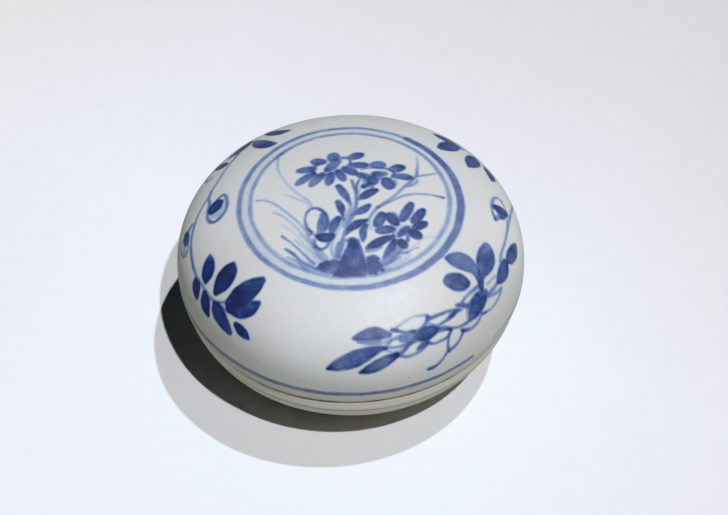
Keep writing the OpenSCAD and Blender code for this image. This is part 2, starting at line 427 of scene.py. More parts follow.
# %% Grass and twigs
def grass():
    blade = [0.24, 0.34, 0.34, 0.32]
    brush([(-21.2, 1.1), (-19.4, 0.8), (-16.8, -0.9), (-13.2, -5.0), (-10.6, -8.4), (-9.4, -10.8),
           (-7.8, -14.6)], blade, [0.46, 0.34, 0.32, 0.34, 0.36, 0.36])
    brush([(-17.3, -3.3), (-15.4, -4.4), (-12.8, -7.4), (-10.2, -11.0), (-8.0, -14.6)], blade,
          [0.36, 0.26, 0.25, 0.3])
    brush([(-15.3, -7.0), (-12.6, -9.8), (-9.8, -13.8), (-7.2, -18.0)], blade, 0.18)
    brush([(-12.4, -12.0), (-10.0, -14.4), (-7.6, -16.6), (-5.6, -18.2)], 0.32, 0.24)
    brush([(-11.0, -10.6), (-8.8, -13.4), (-7.4, -16.4), (-6.2, -18.8)], 0.4, 0.26)
    brush([(-15.2, -10.6), (-13.0, -12.9), (-10.6, -15.8), (-8.2, -18.8)], [0.36, 0.26, 0.3, 0.32],
          [0.62, 0.44, 0.54, 0.5])
    brush([(-14.5, -14.2), (-12.6, -15.9), (-10.4, -18.4), (-7.8, -20.1)], [0.32, 0.44, 0.38, 0.34],
          [0.5, 0.6, 0.48, 0.5])
    brush([(-14.0, -16.5), (-12.0, -17.6), (-10.6, -19.2), (-9.4, -20.4)], [0.28, 0.32, 0.4, 0.4],
          [0.42, 0.36, 0.4, 0.34])
    brush([(-13.6, -18.4), (-10.8, -18.9), (-8.4, -20.2), (-5.4, -21.6)], [0.8, 1.2, 1.1, 0.7],
          [0.14, 0.22, 0.26, 0.26])
    brush([(-10.6, -15.8), (-8.8, -17.4), (-6.8, -19.0)], [0.5, 1.0, 0.8], 0.18)
    brush([(-11.6, -12.6), (-9.4, -14.8), (-6.6, -17.2)], [0.5, 1.1, 0.9], 0.1)
    brush([(-16.3, 14.6), (-16.4, 11.6), (-15.4, 7.8), (-13.4, 4.0), (-11.0, 1.2), (-9.2, -0.9),
           (-8.2, -3.2)], [0.26, 0.28, 0.3, 0.34, 0.36, 0.42, 0.36],
          [0.38, 0.32, 0.26, 0.25, 0.25, 0.26, 0.32])
    brush([(-14.6, 1.9), (-12.2, 0.5), (-10.0, -1.2), (-8.6, -3.0)], 0.32, [0.12, 0.26, 0.2, 0.16])
    brush([(15.6, 14.6), (15.7, 11.0), (15.4, 8.2), (14.8, 6.4), (12.8, 3.8), (10.2, 0.5), (7.6, -2.0),
           (5.2, -4.6), (4.0, -7.0)], [0.24, 0.34, 0.44, 0.44, 0.46, 0.42, 0.44, 0.42, 0.36],
          [0.2, 0.38, 0.48, 0.46, 0.4, 0.36, 0.36, 0.32])
    brush([(20.0, 8.7), (17.6, 7.8), (15.4, 7.0)], [0.22, 0.3, 0.34], 0.44)
    brush([(15.5, 5.9), (15.0, 4.8), (13.4, 3.6), (12.2, 3.3)], [0.26, 0.38, 0.46, 0.34],
          [0.44, 0.44, 0.38, 0.32])
    brush([(21.2, 0.8), (18.4, 1.3), (15.4, 1.4), (12.2, 0.5), (9.2, -1.3), (6.2, -3.2)],
          [0.36, 0.3, 0.34, 0.36, 0.4, 0.42], [0.62, 0.44, 0.44, 0.4, 0.42, 0.58])
    brush([(6.0, -3.4), (4.8, -5.2), (4.2, -7.4), (4.6, -9.8)], 0.42, 0.24)
    brush([(19.4, -11.1), (16.8, -11.4), (15.2, -12.9), (13.2, -14.8), (11.0, -16.2)], 0.26,
          [0.24, 0.2, 0.2, 0.26])
    brush([(15.0, -14.4), (13.4, -15.3), (12.4, -16.0), (11.0, -16.4)], [0.26, 0.28, 0.4, 0.3],
          [0.42, 0.36, 0.56, 0.34])
    brush([(11.4, -15.6), (9.8, -16.7), (8.6, -18.2), (6.8, -19.6)], [0.4, 0.6, 0.5, 0.4], 0.44)
    brush([(10.8, -17.2), (9.4, -18.0), (7.8, -19.2)], [0.36, 0.55, 0.5], 0.42)
    brush([(8.2, -20.2), (10.4, -18.8), (13.0, -16.6)], [1.0, 1.1, 0.6], 0.14)
    brush([(3.4, -16.0), (5.2, -15.6), (6.8, -14.6)], [0.45, 0.42, 0.34], 0.4)
    brush([(5.2, -21.4), (7.0, -20.6), (8.6, -20.4)], [0.8, 0.8, 0.5], 0.28)


for part in (grass, rock, stem_and_leaves, left_bud,
             upper_left_flower, upper_right_flower, lower_right_flower):
    part()
print(len(STROKES), "strokes inside and on the rings")

# %% [markdown]
# ### Sprays on the shoulder
#
# A vine runs round the shoulder and carries four sprays. Dark leaves are single pressed strokes.
# On the front right the painter only outlined many leaves and left them white.


# %% Large spray at the front right
def front_right_spray():
    leaf([(-6.2, -43.1), (-3.4, -42.3), (0.2, -41.2), (3.8, -39.7), (6.2, -38.8), (7.7, -38.5)],
         [0.35, 1.45, 2.0, 1.35, 0.7, 0.4], [0.88, 0.58, 0.64, 0.72, 0.64, 0.88])
    leaf([(1.7, -44.4), (4.4, -43.3), (7.4, -41.7), (10.4, -40.0)], [0.3, 1.25, 1.4, 0.7],
         [0.8, 0.72, 0.62, 0.88])
    leaf([(0.3, -36.5), (2.6, -36.0), (5.0, -35.5), (8.2, -35.5)], [0.4, 1.2, 1.45, 0.7],
         [0.68, 0.66, 0.78, 0.7])
    brush([(1.2, -36.9), (3.4, -37.2), (6.0, -36.9)], [0.5, 0.85, 0.6], 0.45)
    brush([(1.2, -37.2), (3.2, -37.8), (5.6, -37.8), (8.0, -36.9), (10.6, -35.8), (13.0, -35.3)], 0.38,
          [0.5, 0.36, 0.34, 0.36, 0.4, 0.45])
    brush([(8.9, -34.5), (10.1, -34.6)], [0.44, 0.6, 0.46], [0.88, 0.92, 0.74])
    brush([(9.8, -34.0), (11.6, -32.7), (13.6, -31.4), (16.6, -30.7)], 0.33, [0.4, 0.3, 0.26, 0.44])
    brush([(10.0, -34.6), (12.2, -34.9), (14.2, -34.6)], [0.4, 0.4, 0.46], [0.58, 0.56, 0.84])
    brush([(13.6, -34.5), (14.7, -34.4)], 0.42, 0.5)
    brush([(17.0, -30.9), (16.9, -32.0), (16.2, -33.2), (15.0, -34.0)], [0.5, 0.5, 0.42, 0.3],
          [0.72, 0.62, 0.5, 0.4])
    leaf([(14.4, -35.9), (16.4, -34.9), (18.0, -34.1), (19.8, -33.2)], [0.7, 1.5, 1.4, 0.5],
         [0.66, 0.78, 0.78, 0.66])
    brush([(11.2, -36.3), (13.2, -36.2), (15.2, -35.6), (17.4, -35.4)], [0.9, 1.2, 1.2, 0.9],
          [0.52, 0.46, 0.42, 0.5])
    brush([(12.2, -38.4), (13.2, -37.2), (14.6, -36.4)], 0.55, 0.56)
    brush([(15.4, -38.2), (16.8, -37.0), (17.8, -36.2)], [0.5, 0.8, 0.5], 0.56)
    brush([(7.6, -38.3), (9.8, -38.3), (12.0, -37.6), (13.6, -36.8)], 0.38, 0.46)
    brush([(7.7, -39.0), (9.6, -39.4), (11.0, -38.9), (11.8, -38.0)], 0.28, [0.4, 0.34, 0.36])
    brush([(8.1, -37.6), (9.2, -36.6), (11.0, -36.2)], 0.36, 0.5)
    brush([(11.2, -40.2), (13.4, -40.1), (15.8, -38.8), (17.3, -37.3), (17.9, -36.4)], 0.42,
          [0.56, 0.46, 0.44, 0.66])
    brush([(11.0, -39.9), (12.2, -38.7), (13.2, -37.4)], [0.5, 0.5, 0.4], 0.58)
    brush([(17.6, -36.6), (19.4, -36.6), (21.2, -35.8), (22.8, -34.6)], [0.5, 0.34, 0.34, 0.36],
          [0.78, 0.52, 0.56, 0.6])
    brush([(18.2, -35.4), (20.0, -33.9), (21.8, -33.1), (23.3, -32.9)], [0.26, 0.3, 0.4, 0.45],
          [0.3, 0.4, 0.7, 0.86])
    brush([(17.2, -31.4), (19.4, -30.3), (21.8, -29.1), (24.2, -28.4), (25.4, -28.0)],
          [0.5, 0.42, 0.42, 0.55, 0.3], [0.7, 0.54, 0.56, 0.66, 0.5])
    brush([(17.6, -32.4), (19.6, -32.5), (21.6, -31.1), (23.0, -29.8), (24.0, -28.7)],
          [0.34, 0.36, 0.42, 0.6, 0.5], [0.46, 0.46, 0.56, 0.9, 0.8])
    brush([(19.6, -33.4), (21.8, -32.6), (24.6, -32.3), (26.8, -31.0), (28.6, -29.2)],
          [0.5, 0.38, 0.34, 0.4, 0.4], [0.62, 0.5, 0.5, 0.5, 0.5])
    brush([(23.2, -33.4), (22.9, -34.6), (23.1, -36.0), (23.8, -37.6)], [0.4, 0.42, 0.4, 0.5],
          [0.7, 0.56, 0.5, 0.66])
    brush([(26.8, -32.9), (26.3, -34.8), (25.4, -36.4), (24.1, -37.8)], [0.4, 0.42, 0.42, 0.5],
          [0.6, 0.5, 0.5, 0.6])
    brush([(23.7, -38.2), (23.1, -39.8), (22.3, -41.2), (20.8, -42.6), (19.6, -43.1)],
          [0.42, 0.36, 0.4, 0.5, 0.5], [0.56, 0.5, 0.56, 0.62, 0.66])
    brush([(26.4, -32.5), (27.6, -32.2), (29.2, -31.3), (30.6, -29.6), (31.3, -27.6)],
          [0.46, 0.5, 0.5, 0.42, 0.36], [0.78, 0.6, 0.42, 0.42, 0.44])
    brush([(31.2, -27.4), (32.4, -26.9)], [0.34, 0.46, 0.36], 0.7)
    brush([(32.3, -26.9), (34.0, -25.5), (35.3, -23.4), (36.1, -21.2), (36.3, -19.5)],
          [0.36, 0.34, 0.4, 0.36], [0.6, 0.36, 0.36, 0.42, 0.5])
    leaf([(31.4, -22.2), (30.1, -24.6), (28.9, -27.2), (28.0, -29.8)], [0.7, 1.9, 1.7, 0.5],
         [0.6, 0.72, 0.76, 0.54])
    brush([(27.4, -26.6), (28.2, -25.4)], 0.8, 0.55)
    leaf([(23.9, -27.3), (25.2, -27.0), (26.9, -26.9)], [0.34, 0.62, 0.5], [0.56, 0.58, 0.66])
    brush([(25.3, -26.2), (26.4, -24.6), (28.2, -22.7), (29.6, -21.2)], [0.42, 0.48, 0.5, 0.4],
          [0.48, 0.46, 0.5, 0.6])
    brush([(26.6, -26.6), (27.0, -28.8), (27.6, -30.8)], 0.3, [0.6, 0.4, 0.24])
    brush([(29.6, -29.0), (30.8, -27.0), (31.6, -25.0)], 0.3, 0.1)


# %% Round leaves above that spray
def front_right_leaves():
    leaf([(20.9, -22.4), (22.4, -22.0), (24.2, -21.8), (25.8, -21.7)], [0.5, 1.75, 2.2, 1.3],
         [0.74, 0.76, 0.76, 0.78])
    leaf([(21.3, -16.4), (23.4, -16.5), (25.6, -16.6), (28.0, -17.9), (29.6, -20.0), (30.0, -21.8)],
         [0.5, 1.9, 2.2, 1.3, 1.0, 0.7], [0.68, 0.62, 0.56, 0.54, 0.58, 0.76])
    leaf([(31.2, -11.0), (31.1, -13.2), (30.8, -15.4), (30.0, -18.2), (29.6, -20.4)],
         [1.2, 2.25, 2.3, 1.2, 0.7], [0.58, 0.64, 0.72, 0.62, 0.6])
    brush([(31.8, -12.4), (31.3, -14.6), (30.7, -17.0)], [0.6, 0.9, 0.6], 0.4)
    brush([(31.4, -15.2), (31.2, -15.8)], 0.5, 0.3)
    leaf([(36.8, -12.8), (36.4, -15.0), (35.6, -17.2), (34.8, -18.8)], [1.0, 1.75, 1.3, 0.4],
         [0.78, 0.68, 0.7, 0.68])
    leaf([(40.4, -6.0), (39.6, -8.2), (38.6, -10.4), (37.5, -12.2)], [0.7, 1.6, 1.6, 0.6],
         [0.7, 0.78, 0.7, 0.74])
    brush([(41.6, 9.4), (40.5, 6.6), (39.3, 3.6), (38.2, 0.2), (37.3, -3.8), (36.4, -7.4),
           (35.4, -11.0), (34.9, -13.4)], [0.4, 0.42, 0.4, 0.42, 0.42, 0.4, 0.4, 0.4],
          [0.56, 0.5, 0.4, 0.42, 0.44, 0.4, 0.46, 0.5])
    brush([(34.8, -18.6), (33.8, -20.4), (32.2, -22.6), (31.0, -24.0)], [0.42, 0.5, 0.5, 0.4], 0.46)
    brush([(36.4, -19.4), (35.2, -20.9), (33.4, -22.2), (32.0, -23.2)], [0.3, 0.42, 0.5, 0.5], 0.42)
    brush([(33.9, -17.6), (33.0, -18.6), (31.6, -20.4)], [0.3, 0.28, 0.3], 0.34)


# %% Bud at the right
def right_bud():
    brush([(36.4, 5.6), (35.4, 6.2), (34.0, 5.2), (33.2, 3.0), (33.2, 0.6), (33.9, -2.0)],
          [0.35, 0.4, 0.5, 0.5, 0.42, 0.4], [0.5, 0.4, 0.4, 0.42, 0.5, 0.7])
    brush([(33.9, -2.0), (35.0, -1.0), (36.6, 0.2), (37.4, 2.0), (37.0, 4.2), (36.3, 5.9)], 0.34,
          [0.6, 0.48, 0.4, 0.5, 0.4, 0.5])
    leaf([(34.3, 2.2), (35.6, 2.1), (36.9, 2.0)], [1.0, 1.35, 1.1], [0.86, 0.9, 0.86])
    leaf([(35.4, 1.6), (35.9, 0.6), (35.8, -0.4)], [1.3, 1.1, 0.5], 0.7)
    brush([(34.0, -1.6), (34.8, -0.4)], 0.6, 0.4)
    brush([(37.4, 1.2), (37.4, -1.0), (37.6, -3.4)], 0.32, 0.34)
    brush([(35.0, 7.4), (35.6, 7.0)], 0.2, 0.2)


# %% Spray at the front left
def front_left_spray():
    leaf([(-32.6, -11.4), (-32.9, -13.4), (-33.4, -15.4), (-34.2, -17.3)], [0.4, 1.5, 1.8, 0.7],
         [0.76, 0.84, 0.92, 0.8])
    leaf([(-26.9, -15.8), (-28.0, -17.6), (-29.4, -19.2), (-31.6, -20.8)], [0.8, 2.2, 2.3, 0.9],
         [0.9, 0.92, 0.96, 0.92])
    leaf([(-37.5, -15.2), (-37.8, -17.0), (-38.2, -19.2)], [0.6, 1.6, 0.9], [0.78, 0.8, 0.7])
    leaf([(-35.3, -19.9), (-35.7, -22.2), (-35.8, -24.8)], [0.8, 1.65, 0.7], [0.84, 0.9, 0.84])
    leaf([(-20.0, -21.4), (-22.4, -22.6), (-25.2, -23.8), (-28.4, -24.6)], [1.0, 2.25, 2.5, 1.2],
         [0.76, 0.84, 0.94, 0.8])
    leaf([(-21.2, -26.6), (-23.2, -27.2), (-25.6, -26.9), (-28.4, -25.8)], [0.7, 1.8, 1.95, 1.2],
         [0.84, 0.82, 0.82, 0.94])
    leaf([(-32.7, -23.2), (-32.2, -25.6), (-31.2, -28.4), (-30.2, -30.9)], [0.7, 1.85, 1.7, 0.9],
         [0.74, 0.7, 0.7, 0.66])
    leaf([(-27.6, -29.9), (-26.8, -31.2), (-25.9, -32.4), (-25.0, -33.7)], [0.7, 1.2, 1.1, 0.4],
         [0.84, 0.84, 0.74, 0.78])
    brush([(-33.8, -21.6), (-32.2, -23.0), (-30.4, -23.8), (-28.8, -24.2)], [0.4, 0.36, 0.34, 0.4],
          0.46)
    brush([(-31.6, -23.4), (-30.4, -25.0), (-29.2, -26.4)], 0.34, 0.46)


# %% Left stem and its buds
def left_stem_and_buds():
    brush([(-25.0, 26.4), (-27.2, 20.6), (-29.8, 15.2), (-32.4, 9.4), (-34.8, 5.0), (-37.0, 0.4),
           (-38.0, -4.2), (-38.2, -9.0), (-37.2, -14.0), (-35.4, -18.2), (-33.4, -21.8)],
          [0.5, 0.4, 0.36, 0.36, 0.38, 0.42, 0.46, 0.44, 0.36, 0.34],
          [0.52, 0.46, 0.42, 0.4, 0.46, 0.52, 0.54, 0.52, 0.46, 0.4])
    brush([(-32.8, 9.2), (-33.2, 6.4), (-32.8, 4.2)], 0.42, 0.44)
    brush([(-31.0, 4.8), (-29.3, 5.9), (-28.4, 4.0), (-28.3, 0.8), (-29.4, -1.2), (-31.1, -2.2),
           (-32.6, -1.4), (-33.2, 0.6), (-33.1, 3.2), (-32.8, 5.6)],
          [0.4, 0.46, 0.5, 0.46, 0.44, 0.46, 0.5, 0.46, 0.4, 0.36],
          [0.6, 0.6, 0.5, 0.46, 0.56, 0.66, 0.6, 0.5, 0.44, 0.4])
    leaf([(-31.8, 1.9), (-31.2, 2.6), (-30.6, 3.4)], [1.4, 1.75, 1.45], [0.82, 0.86, 0.78])
    brush([(-31.6, 0.0), (-30.2, -0.4), (-29.6, 1.4)], 0.9, 0.24)
    leaf([(-40.4, -0.6), (-40.1, -2.2), (-39.6, -4.0)], [0.9, 1.35, 0.8], [0.7, 0.72, 0.6])
    brush([(-40.6, -3.4), (-41.0, -5.0), (-40.8, -6.2)], 0.9, 0.28)
    turn((-41.0, -4.0), (1.75, 3.1), 12, 100, 330, 0.36, [0.3, 0.4, 0.46, 0.44], 9)
    brush([(-37.9, 0.8), (-38.8, 0.0), (-39.8, -1.2)], [0.36, 0.5, 0.6], 0.6)


# %% Leaves at the back left and the back right
def back_left_leaves():
    leaf([(-17.3, 21.3), (-19.2, 21.7), (-21.2, 23.4), (-22.9, 26.2)], [0.5, 1.5, 1.7, 0.6],
         [0.7, 0.78, 0.76, 0.6])
    leaf([(-14.3, 27.2), (-16.4, 27.1), (-18.4, 28.4), (-20.2, 30.8)], [0.5, 1.4, 1.5, 0.6],
         [0.8, 0.86, 0.82, 0.7])
    leaf([(-24.0, 27.4), (-25.4, 25.4), (-27.0, 23.6), (-29.2, 22.0)], [0.5, 1.5, 1.4, 0.5],
         [0.76, 0.8, 0.78, 0.66])
    leaf([(-29.6, 18.6), (-31.0, 19.2), (-33.0, 21.0)], [0.6, 1.4, 0.6], [0.8, 0.84, 0.66])
    turn((-33.6, 17.4), (1.4, 2.6), -28, 60, 330, 0.36, 0.5, 9)
    leaf([(-21.4, 31.6), (-23.6, 31.4), (-26.2, 32.6)], [0.5, 1.6, 0.6], 0.76)
    leaf([(-20.6, 33.2), (-20.4, 35.8), (-21.4, 38.4)], [0.5, 1.5, 0.6], 0.76)
    leaf([(-27.4, 28.8), (-29.6, 29.6), (-32.0, 31.6)], [0.5, 1.5, 0.6], 0.74)
    brush([(-25.0, 26.4), (-24.0, 30.6), (-21.0, 35.6), (-15.4, 40.4), (-8.8, 43.4), (-2.0, 44.6)],
          0.42, 0.5)


def back_right_leaves():
    leaf([(21.0, 26.9), (22.8, 26.0), (25.0, 24.4), (27.6, 23.0)], [0.6, 1.5, 1.6, 0.5],
         [0.74, 0.82, 0.8, 0.74])
    leaf([(26.0, 23.4), (24.6, 22.0), (23.2, 20.8), (21.6, 19.6)], [0.9, 2.0, 1.9, 0.9],
         [0.84, 0.84, 0.8, 0.76])
    leaf([(30.8, 21.0), (30.2, 18.9), (29.3, 16.8), (28.2, 14.4)], [0.8, 1.9, 1.8, 0.4],
         [0.88, 0.92, 0.8, 0.74])
    leaf([(33.4, 18.4), (34.4, 16.4), (34.8, 14.8), (34.4, 12.8)], [0.5, 1.3, 1.3, 0.4],
         [0.84, 0.88, 0.86, 0.84])
    leaf([(27.6, 28.6), (30.0, 29.4), (32.6, 31.2)], [0.5, 1.6, 0.6], 0.76)
    leaf([(22.6, 31.0), (23.4, 33.4), (25.4, 35.8)], [0.5, 1.5, 0.6], 0.76)
    brush([(21.4, 36.6), (25.2, 31.0), (28.2, 24.8), (33.4, 20.8), (37.8, 16.6), (40.8, 12.4),
           (41.6, 9.4)], 0.4, 0.46)


# %% Bud and leaves at the back, out of the painter's sight line
def back_bud():
    brush([(-2.0, 44.6), (4.4, 44.8), (11.2, 43.6), (17.0, 40.6), (21.4, 36.6)], 0.42, 0.48)
    turn((3.4, 41.0), (2.2, 3.0), 8, 80, 380, 0.38, [0.4, 0.52, 0.46, 0.5], 11)
    leaf([(3.2, 42.8), (3.4, 41.6), (3.6, 40.4)], [0.9, 1.3, 0.7], 0.84)
    leaf([(-3.6, 43.6), (-6.0, 41.6), (-8.8, 40.4)], [0.5, 1.5, 0.6], 0.78)
    leaf([(11.6, 42.6), (12.6, 40.6), (13.0, 38.2)], [0.5, 1.5, 0.6], 0.78)


for part in (front_right_spray, front_right_leaves, right_bud, front_left_spray, left_stem_and_buds,
             back_left_leaves, back_right_leaves, back_bud):
    part()
print(len(STROKES), "strokes on the whole lid")

# %% [markdown]
# ## From strokes to amounts of cobalt
#
# For any place on the disc we need the distance to each stroke's edge. The strokes are cut into
# short pieces, and each piece looks only at the points near it, so thousands of points against
# hundreds of strokes stay quick. Two strokes that overlap give a darker blue, as thin washes do.

# %% The painter's hand is never quite steady
NEAR = 1.6
TREMOR = 0.05


def unsteady(uv):
    """The same places, pushed about by less than a tenth of a millimetre in slow and quick waves."""
    u, v = uv[:, 0], uv[:, 1]
    du = np.sin(0.71 * v + 0.4 * u + 1.0) + 0.5 * np.sin(2.1 * v - 1.3 * u + 2.0)
    dv = np.sin(0.67 * u - 0.3 * v + 4.0) + 0.5 * np.sin(1.9 * u + 1.5 * v)
    return uv + TREMOR * np.column_stack([du, dv])


def smooth(x):
    """0 below 0, 1 above 1, and an easy slope between."""
    x = np.clip(x, 0, 1)
    return x * x * (3 - 2 * x)


# %% One stroke against many points
def stroke_depth(stroke, uv):
    """For the points near a stroke: their rows, and how far inside its edge, along it and across it."""
    line, half = stroke["line"], stroke["half"]
    depth = np.full(len(uv), -9.0)
    along = np.zeros(len(uv))
    across = np.zeros(len(uv))
    for first in range(0, len(line) - 1, 6):
        last = min(first + 6, len(line) - 1)
        piece = line[first : last + 1]
        reach = half[first : last + 1].max() + NEAR
        near = np.flatnonzero(
            (uv[:, 0] > piece[:, 0].min() - reach) & (uv[:, 0] < piece[:, 0].max() + reach)
            & (uv[:, 1] > piece[:, 1].min() - reach) & (uv[:, 1] < piece[:, 1].max() + reach)
        )
        for k in range(first, last):
            step = line[k + 1] - line[k]
            t = np.clip((uv[near] - line[k]) @ step / (step @ step), 0, 1)
            away = uv[near] - line[k] - t[:, None] * step
            deep = half[k] + t * (half[k + 1] - half[k]) - np.hypot(away[:, 0], away[:, 1])
            better = deep > depth[near]
            rows = near[better]
            depth[rows] = deep[better]
            along[rows] = k + t[better]
            across[rows] = (away[better, 0] * step[1] - away[better, 1] * step[0]) / np.hypot(*step)
    rows = np.flatnonzero(depth > -NEAR)
    return rows, depth[rows], along[rows], across[rows]


# %% All strokes against many points
def painted(uv):
    """Amount of cobalt at each place, and how near the closest stroke edge is, in millimetres."""
    places = unsteady(uv)
    cobalt = np.zeros(len(uv))
    edge = np.full(len(uv), NEAR)
    for stroke in STROKES:
        rows, depth, along, across = stroke_depth(stroke, places)
        edge[rows] = np.minimum(edge[rows], np.abs(depth))
        cover = smooth(depth / SOFT_EDGE + 0.5)
        load = np.interp(along, np.arange(len(stroke["line"])), stroke["load"])
        rim = np.exp(-(((depth - POOL_DEPTH) / POOL_WIDTH) ** 2))
        hairs = np.sin(7.3 * across + 0.15 * along) + 0.6 * np.sin(15.1 * across + 2)
        tone = load * (1 + stroke["pool"] * (rim - 0.4) + stroke["streak"] * hairs)
        wash = cover * np.clip(tone, 0, DARKEST)
        under = cobalt[rows]
        heavy, light = np.maximum(under, wash), np.minimum(under, wash)
        cobalt[rows] = heavy + OVERLAP * light * (1 - heavy)
    return cobalt, edge


# %% [markdown]
# ## A mesh that is fine only where it must be
#
# We start from a coarse disc of triangles and cut the long edges in two, again and again, until
# every edge near a stroke's outline is less than half a millimetre long. Plain white areas keep
# big triangles. Always cutting a triangle's longest edge first keeps the triangles well shaped,
# and a neighbour is cut together with it, so no cracks open.

# %% Coarse disc
FINE_EDGE = 0.37
COARSE_EDGE = 1.25
COARSE_RINGS = 36
MOST_ROUNDS = 16


def coarse_disc(radius, rings):
    """A disc of near-equal triangles: ring k holds 6k points."""
    points = [(0.0, 0.0)]
    for k in range(1, rings + 1):
        a = np.arange(6 * k) * math.tau / (6 * k)
        points += list(zip(radius * k / rings * np.cos(a), radius * k / rings * np.sin(a)))
    tris = []

    def on_ring(k, i):
        """The number of point i on ring k. Ring 0 is the single point in the middle."""
        return 1 + 3 * k * (k - 1) + i % (6 * k) if k else 0

    for k in range(1, rings + 1):
        for side in range(6):
            for i in range(k):
                outer = [on_ring(k, side * k + i + j) for j in (0, 1)]
                inner = [on_ring(k - 1, side * (k - 1) + i + j) for j in (-1, 0)]
                tris.append((inner[1], outer[0], outer[1]))
                if i:
                    tris.append((inner[0], outer[0], inner[1]))
    return np.array(points), np.array(tris)


# %% Longest edge first
def longest_first(points, tris):
    """Turns each triangle so that its first two corners hold its longest edge."""
    lengths = [np.hypot(*(points[tris[:, (k + 1) % 3]] - points[tris[:, k]]).T) for k in range(3)]
    pick = np.argmax(np.column_stack(lengths) + [2e-9, 1e-9, 0], axis=1)
    rows = np.arange(len(tris))
    return np.column_stack([tris[rows, (pick + j) % 3] for j in range(3)])


# %% One round of cuts
def refine(points, edge, tris):
    """Cuts every edge that is too long for its place. Says how many edges it cut."""
    tris = longest_first(points, tris)
    pairs = np.sort(np.vstack([tris[:, [0, 1]], tris[:, [1, 2]], tris[:, [2, 0]]]), axis=1)
    keys, ids = np.unique(pairs[:, 0] * len(points) + pairs[:, 1], return_inverse=True)
    ends = np.column_stack([keys // len(points), keys % len(points)])
    length = np.hypot(*(points[ends[:, 1]] - points[ends[:, 0]]).T)
    clear = np.maximum(edge[ends].min(axis=1) - 0.25 - 0.3 * length, 0)
    cut = length > np.minimum(FINE_EDGE * 1.3 + 0.9 * clear, COARSE_EDGE)
    e0, e1, e2 = np.split(ids.ravel(), 3)
    while True:
        spread_to = e0[(cut[e0] | cut[e1] | cut[e2]) & ~cut[e0]]
        if not len(spread_to):
            break
        cut[spread_to] = True
    if not cut.any():
        return points, edge, tris, 0
    middle = np.full(len(keys), -1)
    middle[cut] = len(points) + np.arange(cut.sum())
    fresh = points[ends[cut]].mean(axis=1)
    on_rim = np.hypot(*points[ends[cut, 0]].T) + np.hypot(*points[ends[cut, 1]].T) > 2 * DISC_R - 1e-6
    fresh[on_rim] *= (DISC_R / np.hypot(*fresh[on_rim].T))[:, None]
    a, b, c = tris.T
    m0, m1, m2 = middle[e0], middle[e1], middle[e2]
    whole, halved = m0 < 0, m0 >= 0
    left, right = halved & (m2 >= 0), halved & (m1 >= 0)
    pieces = [tris[whole]]
    for rows, corners in (
        (halved & ~left, (c, a, m0)), (left, (c, m2, m0)), (left, (m2, a, m0)),
        (halved & ~right, (b, c, m0)), (right, (b, m1, m0)), (right, (m1, c, m0)),
    ):
        pieces.append(np.column_stack([corner_ids[rows] for corner_ids in corners]))
    return (np.vstack([points, fresh]), np.concatenate([edge, painted(fresh)[1]]),
            np.vstack(pieces), int(cut.sum()))


# %% Refine the disc
disc, disc_tris = coarse_disc(DISC_R, COARSE_RINGS)
disc_edge = painted(disc)[1]
for round_of_cuts in range(MOST_ROUNDS):
    disc, disc_edge, disc_tris, cuts = refine(disc, disc_edge, disc_tris)
    if not cuts:
        break
disc_cobalt = painted(disc)[0]
print(f"painted disc: {len(disc)} points, {len(disc_tris)} triangles after {round_of_cuts} rounds")

# %% [markdown]
# ## Turned surfaces
#
# Everything else on the box is an outline swept round the axis. `Turned` collects rings of
# points and joins each ring to the next. A ring can have any set of angles, so the fine rim of
# the painted dome can be carried on over the edge and into the lid without a seam.


# %% Hand-made unevenness
def uneven(points, amount):
    """Slow bumps of a thrown and hand-dipped pot: a height in mm for each point, from a few waves."""
    x, y, z = points.T
    waves = (
        np.sin(0.105 * x + 0.05 * y + 0.3) * np.cos(0.09 * y - 0.04 * z + 1.1)
        + 0.55 * np.sin(0.21 * x - 0.17 * y + 0.12 * z + 2.0)
        + 0.35 * np.sin(0.33 * x + 0.29 * y - 0.25 * z + 4.2)
    )
    return amount * waves


# %% Rings of points
class Turned:
    """A mesh made of rings, in millimetres. Each point knows how far along the outline it lies."""

    def __init__(self):
        self.points, self.normals, self.runs, self.faces = [], [], [], []

    def add(self, points, normals, runs):
        first = sum(len(rows) for rows in self.points)
        self.points.append(points)
        self.normals.append(normals)
        self.runs.append(np.broadcast_to(runs, len(points)))
        return first + np.arange(len(points))

    def ring(self, place, outward, run, angles):
        c, s, one = np.cos(angles), np.sin(angles), np.ones(len(angles))
        points = np.column_stack([place[0] * c, place[0] * s, place[1] * one])
        return self.add(points, np.column_stack([outward[0] * c, outward[0] * s, outward[1] * one]), run)

    def band(self, a, b, chart):
        """Quads from ring a to the next ring b. chart 0 is the outside's map, 1 the inside's."""
        self.faces.append((np.column_stack([a, b, np.roll(b, -1), np.roll(a, -1)]), chart))

    def sweep(self, outline, run, angles, last, chart):
        """Rings along an outline after its first point, joined to the ring before it."""
        outward = outward_of(outline)
        runs = run + arc_lengths(outline)
        for place, normal, at in list(zip(outline, outward, runs))[1:]:
            if place[0] < 1e-6:
                middle = self.ring(place, normal, at, np.zeros(1))[0]
                fan = np.column_stack([last, np.full(len(last), middle), np.roll(last, -1)])
                self.faces.append((fan, chart))
            else:
                here = self.ring(place, normal, at, angles)
                self.band(last, here, chart)
                last = here
        return last, runs[-1]


def outward_of(outline):
    """The outward directions along an outline that is walked with the body on its right-hand side."""
    d = np.gradient(outline, axis=0)
    n = np.column_stack([-d[:, 1], d[:, 0]])
    return n / np.linalg.norm(n, axis=1, keepdims=True)


# %% [markdown]
# `make_mesh` turns the rings into a Blender object. It keeps exact normals from the outlines, so
# the glaze reflects evenly whatever the triangles do, and it writes a flat map with two discs,
# a large one for the outside and a smaller one for the inside.


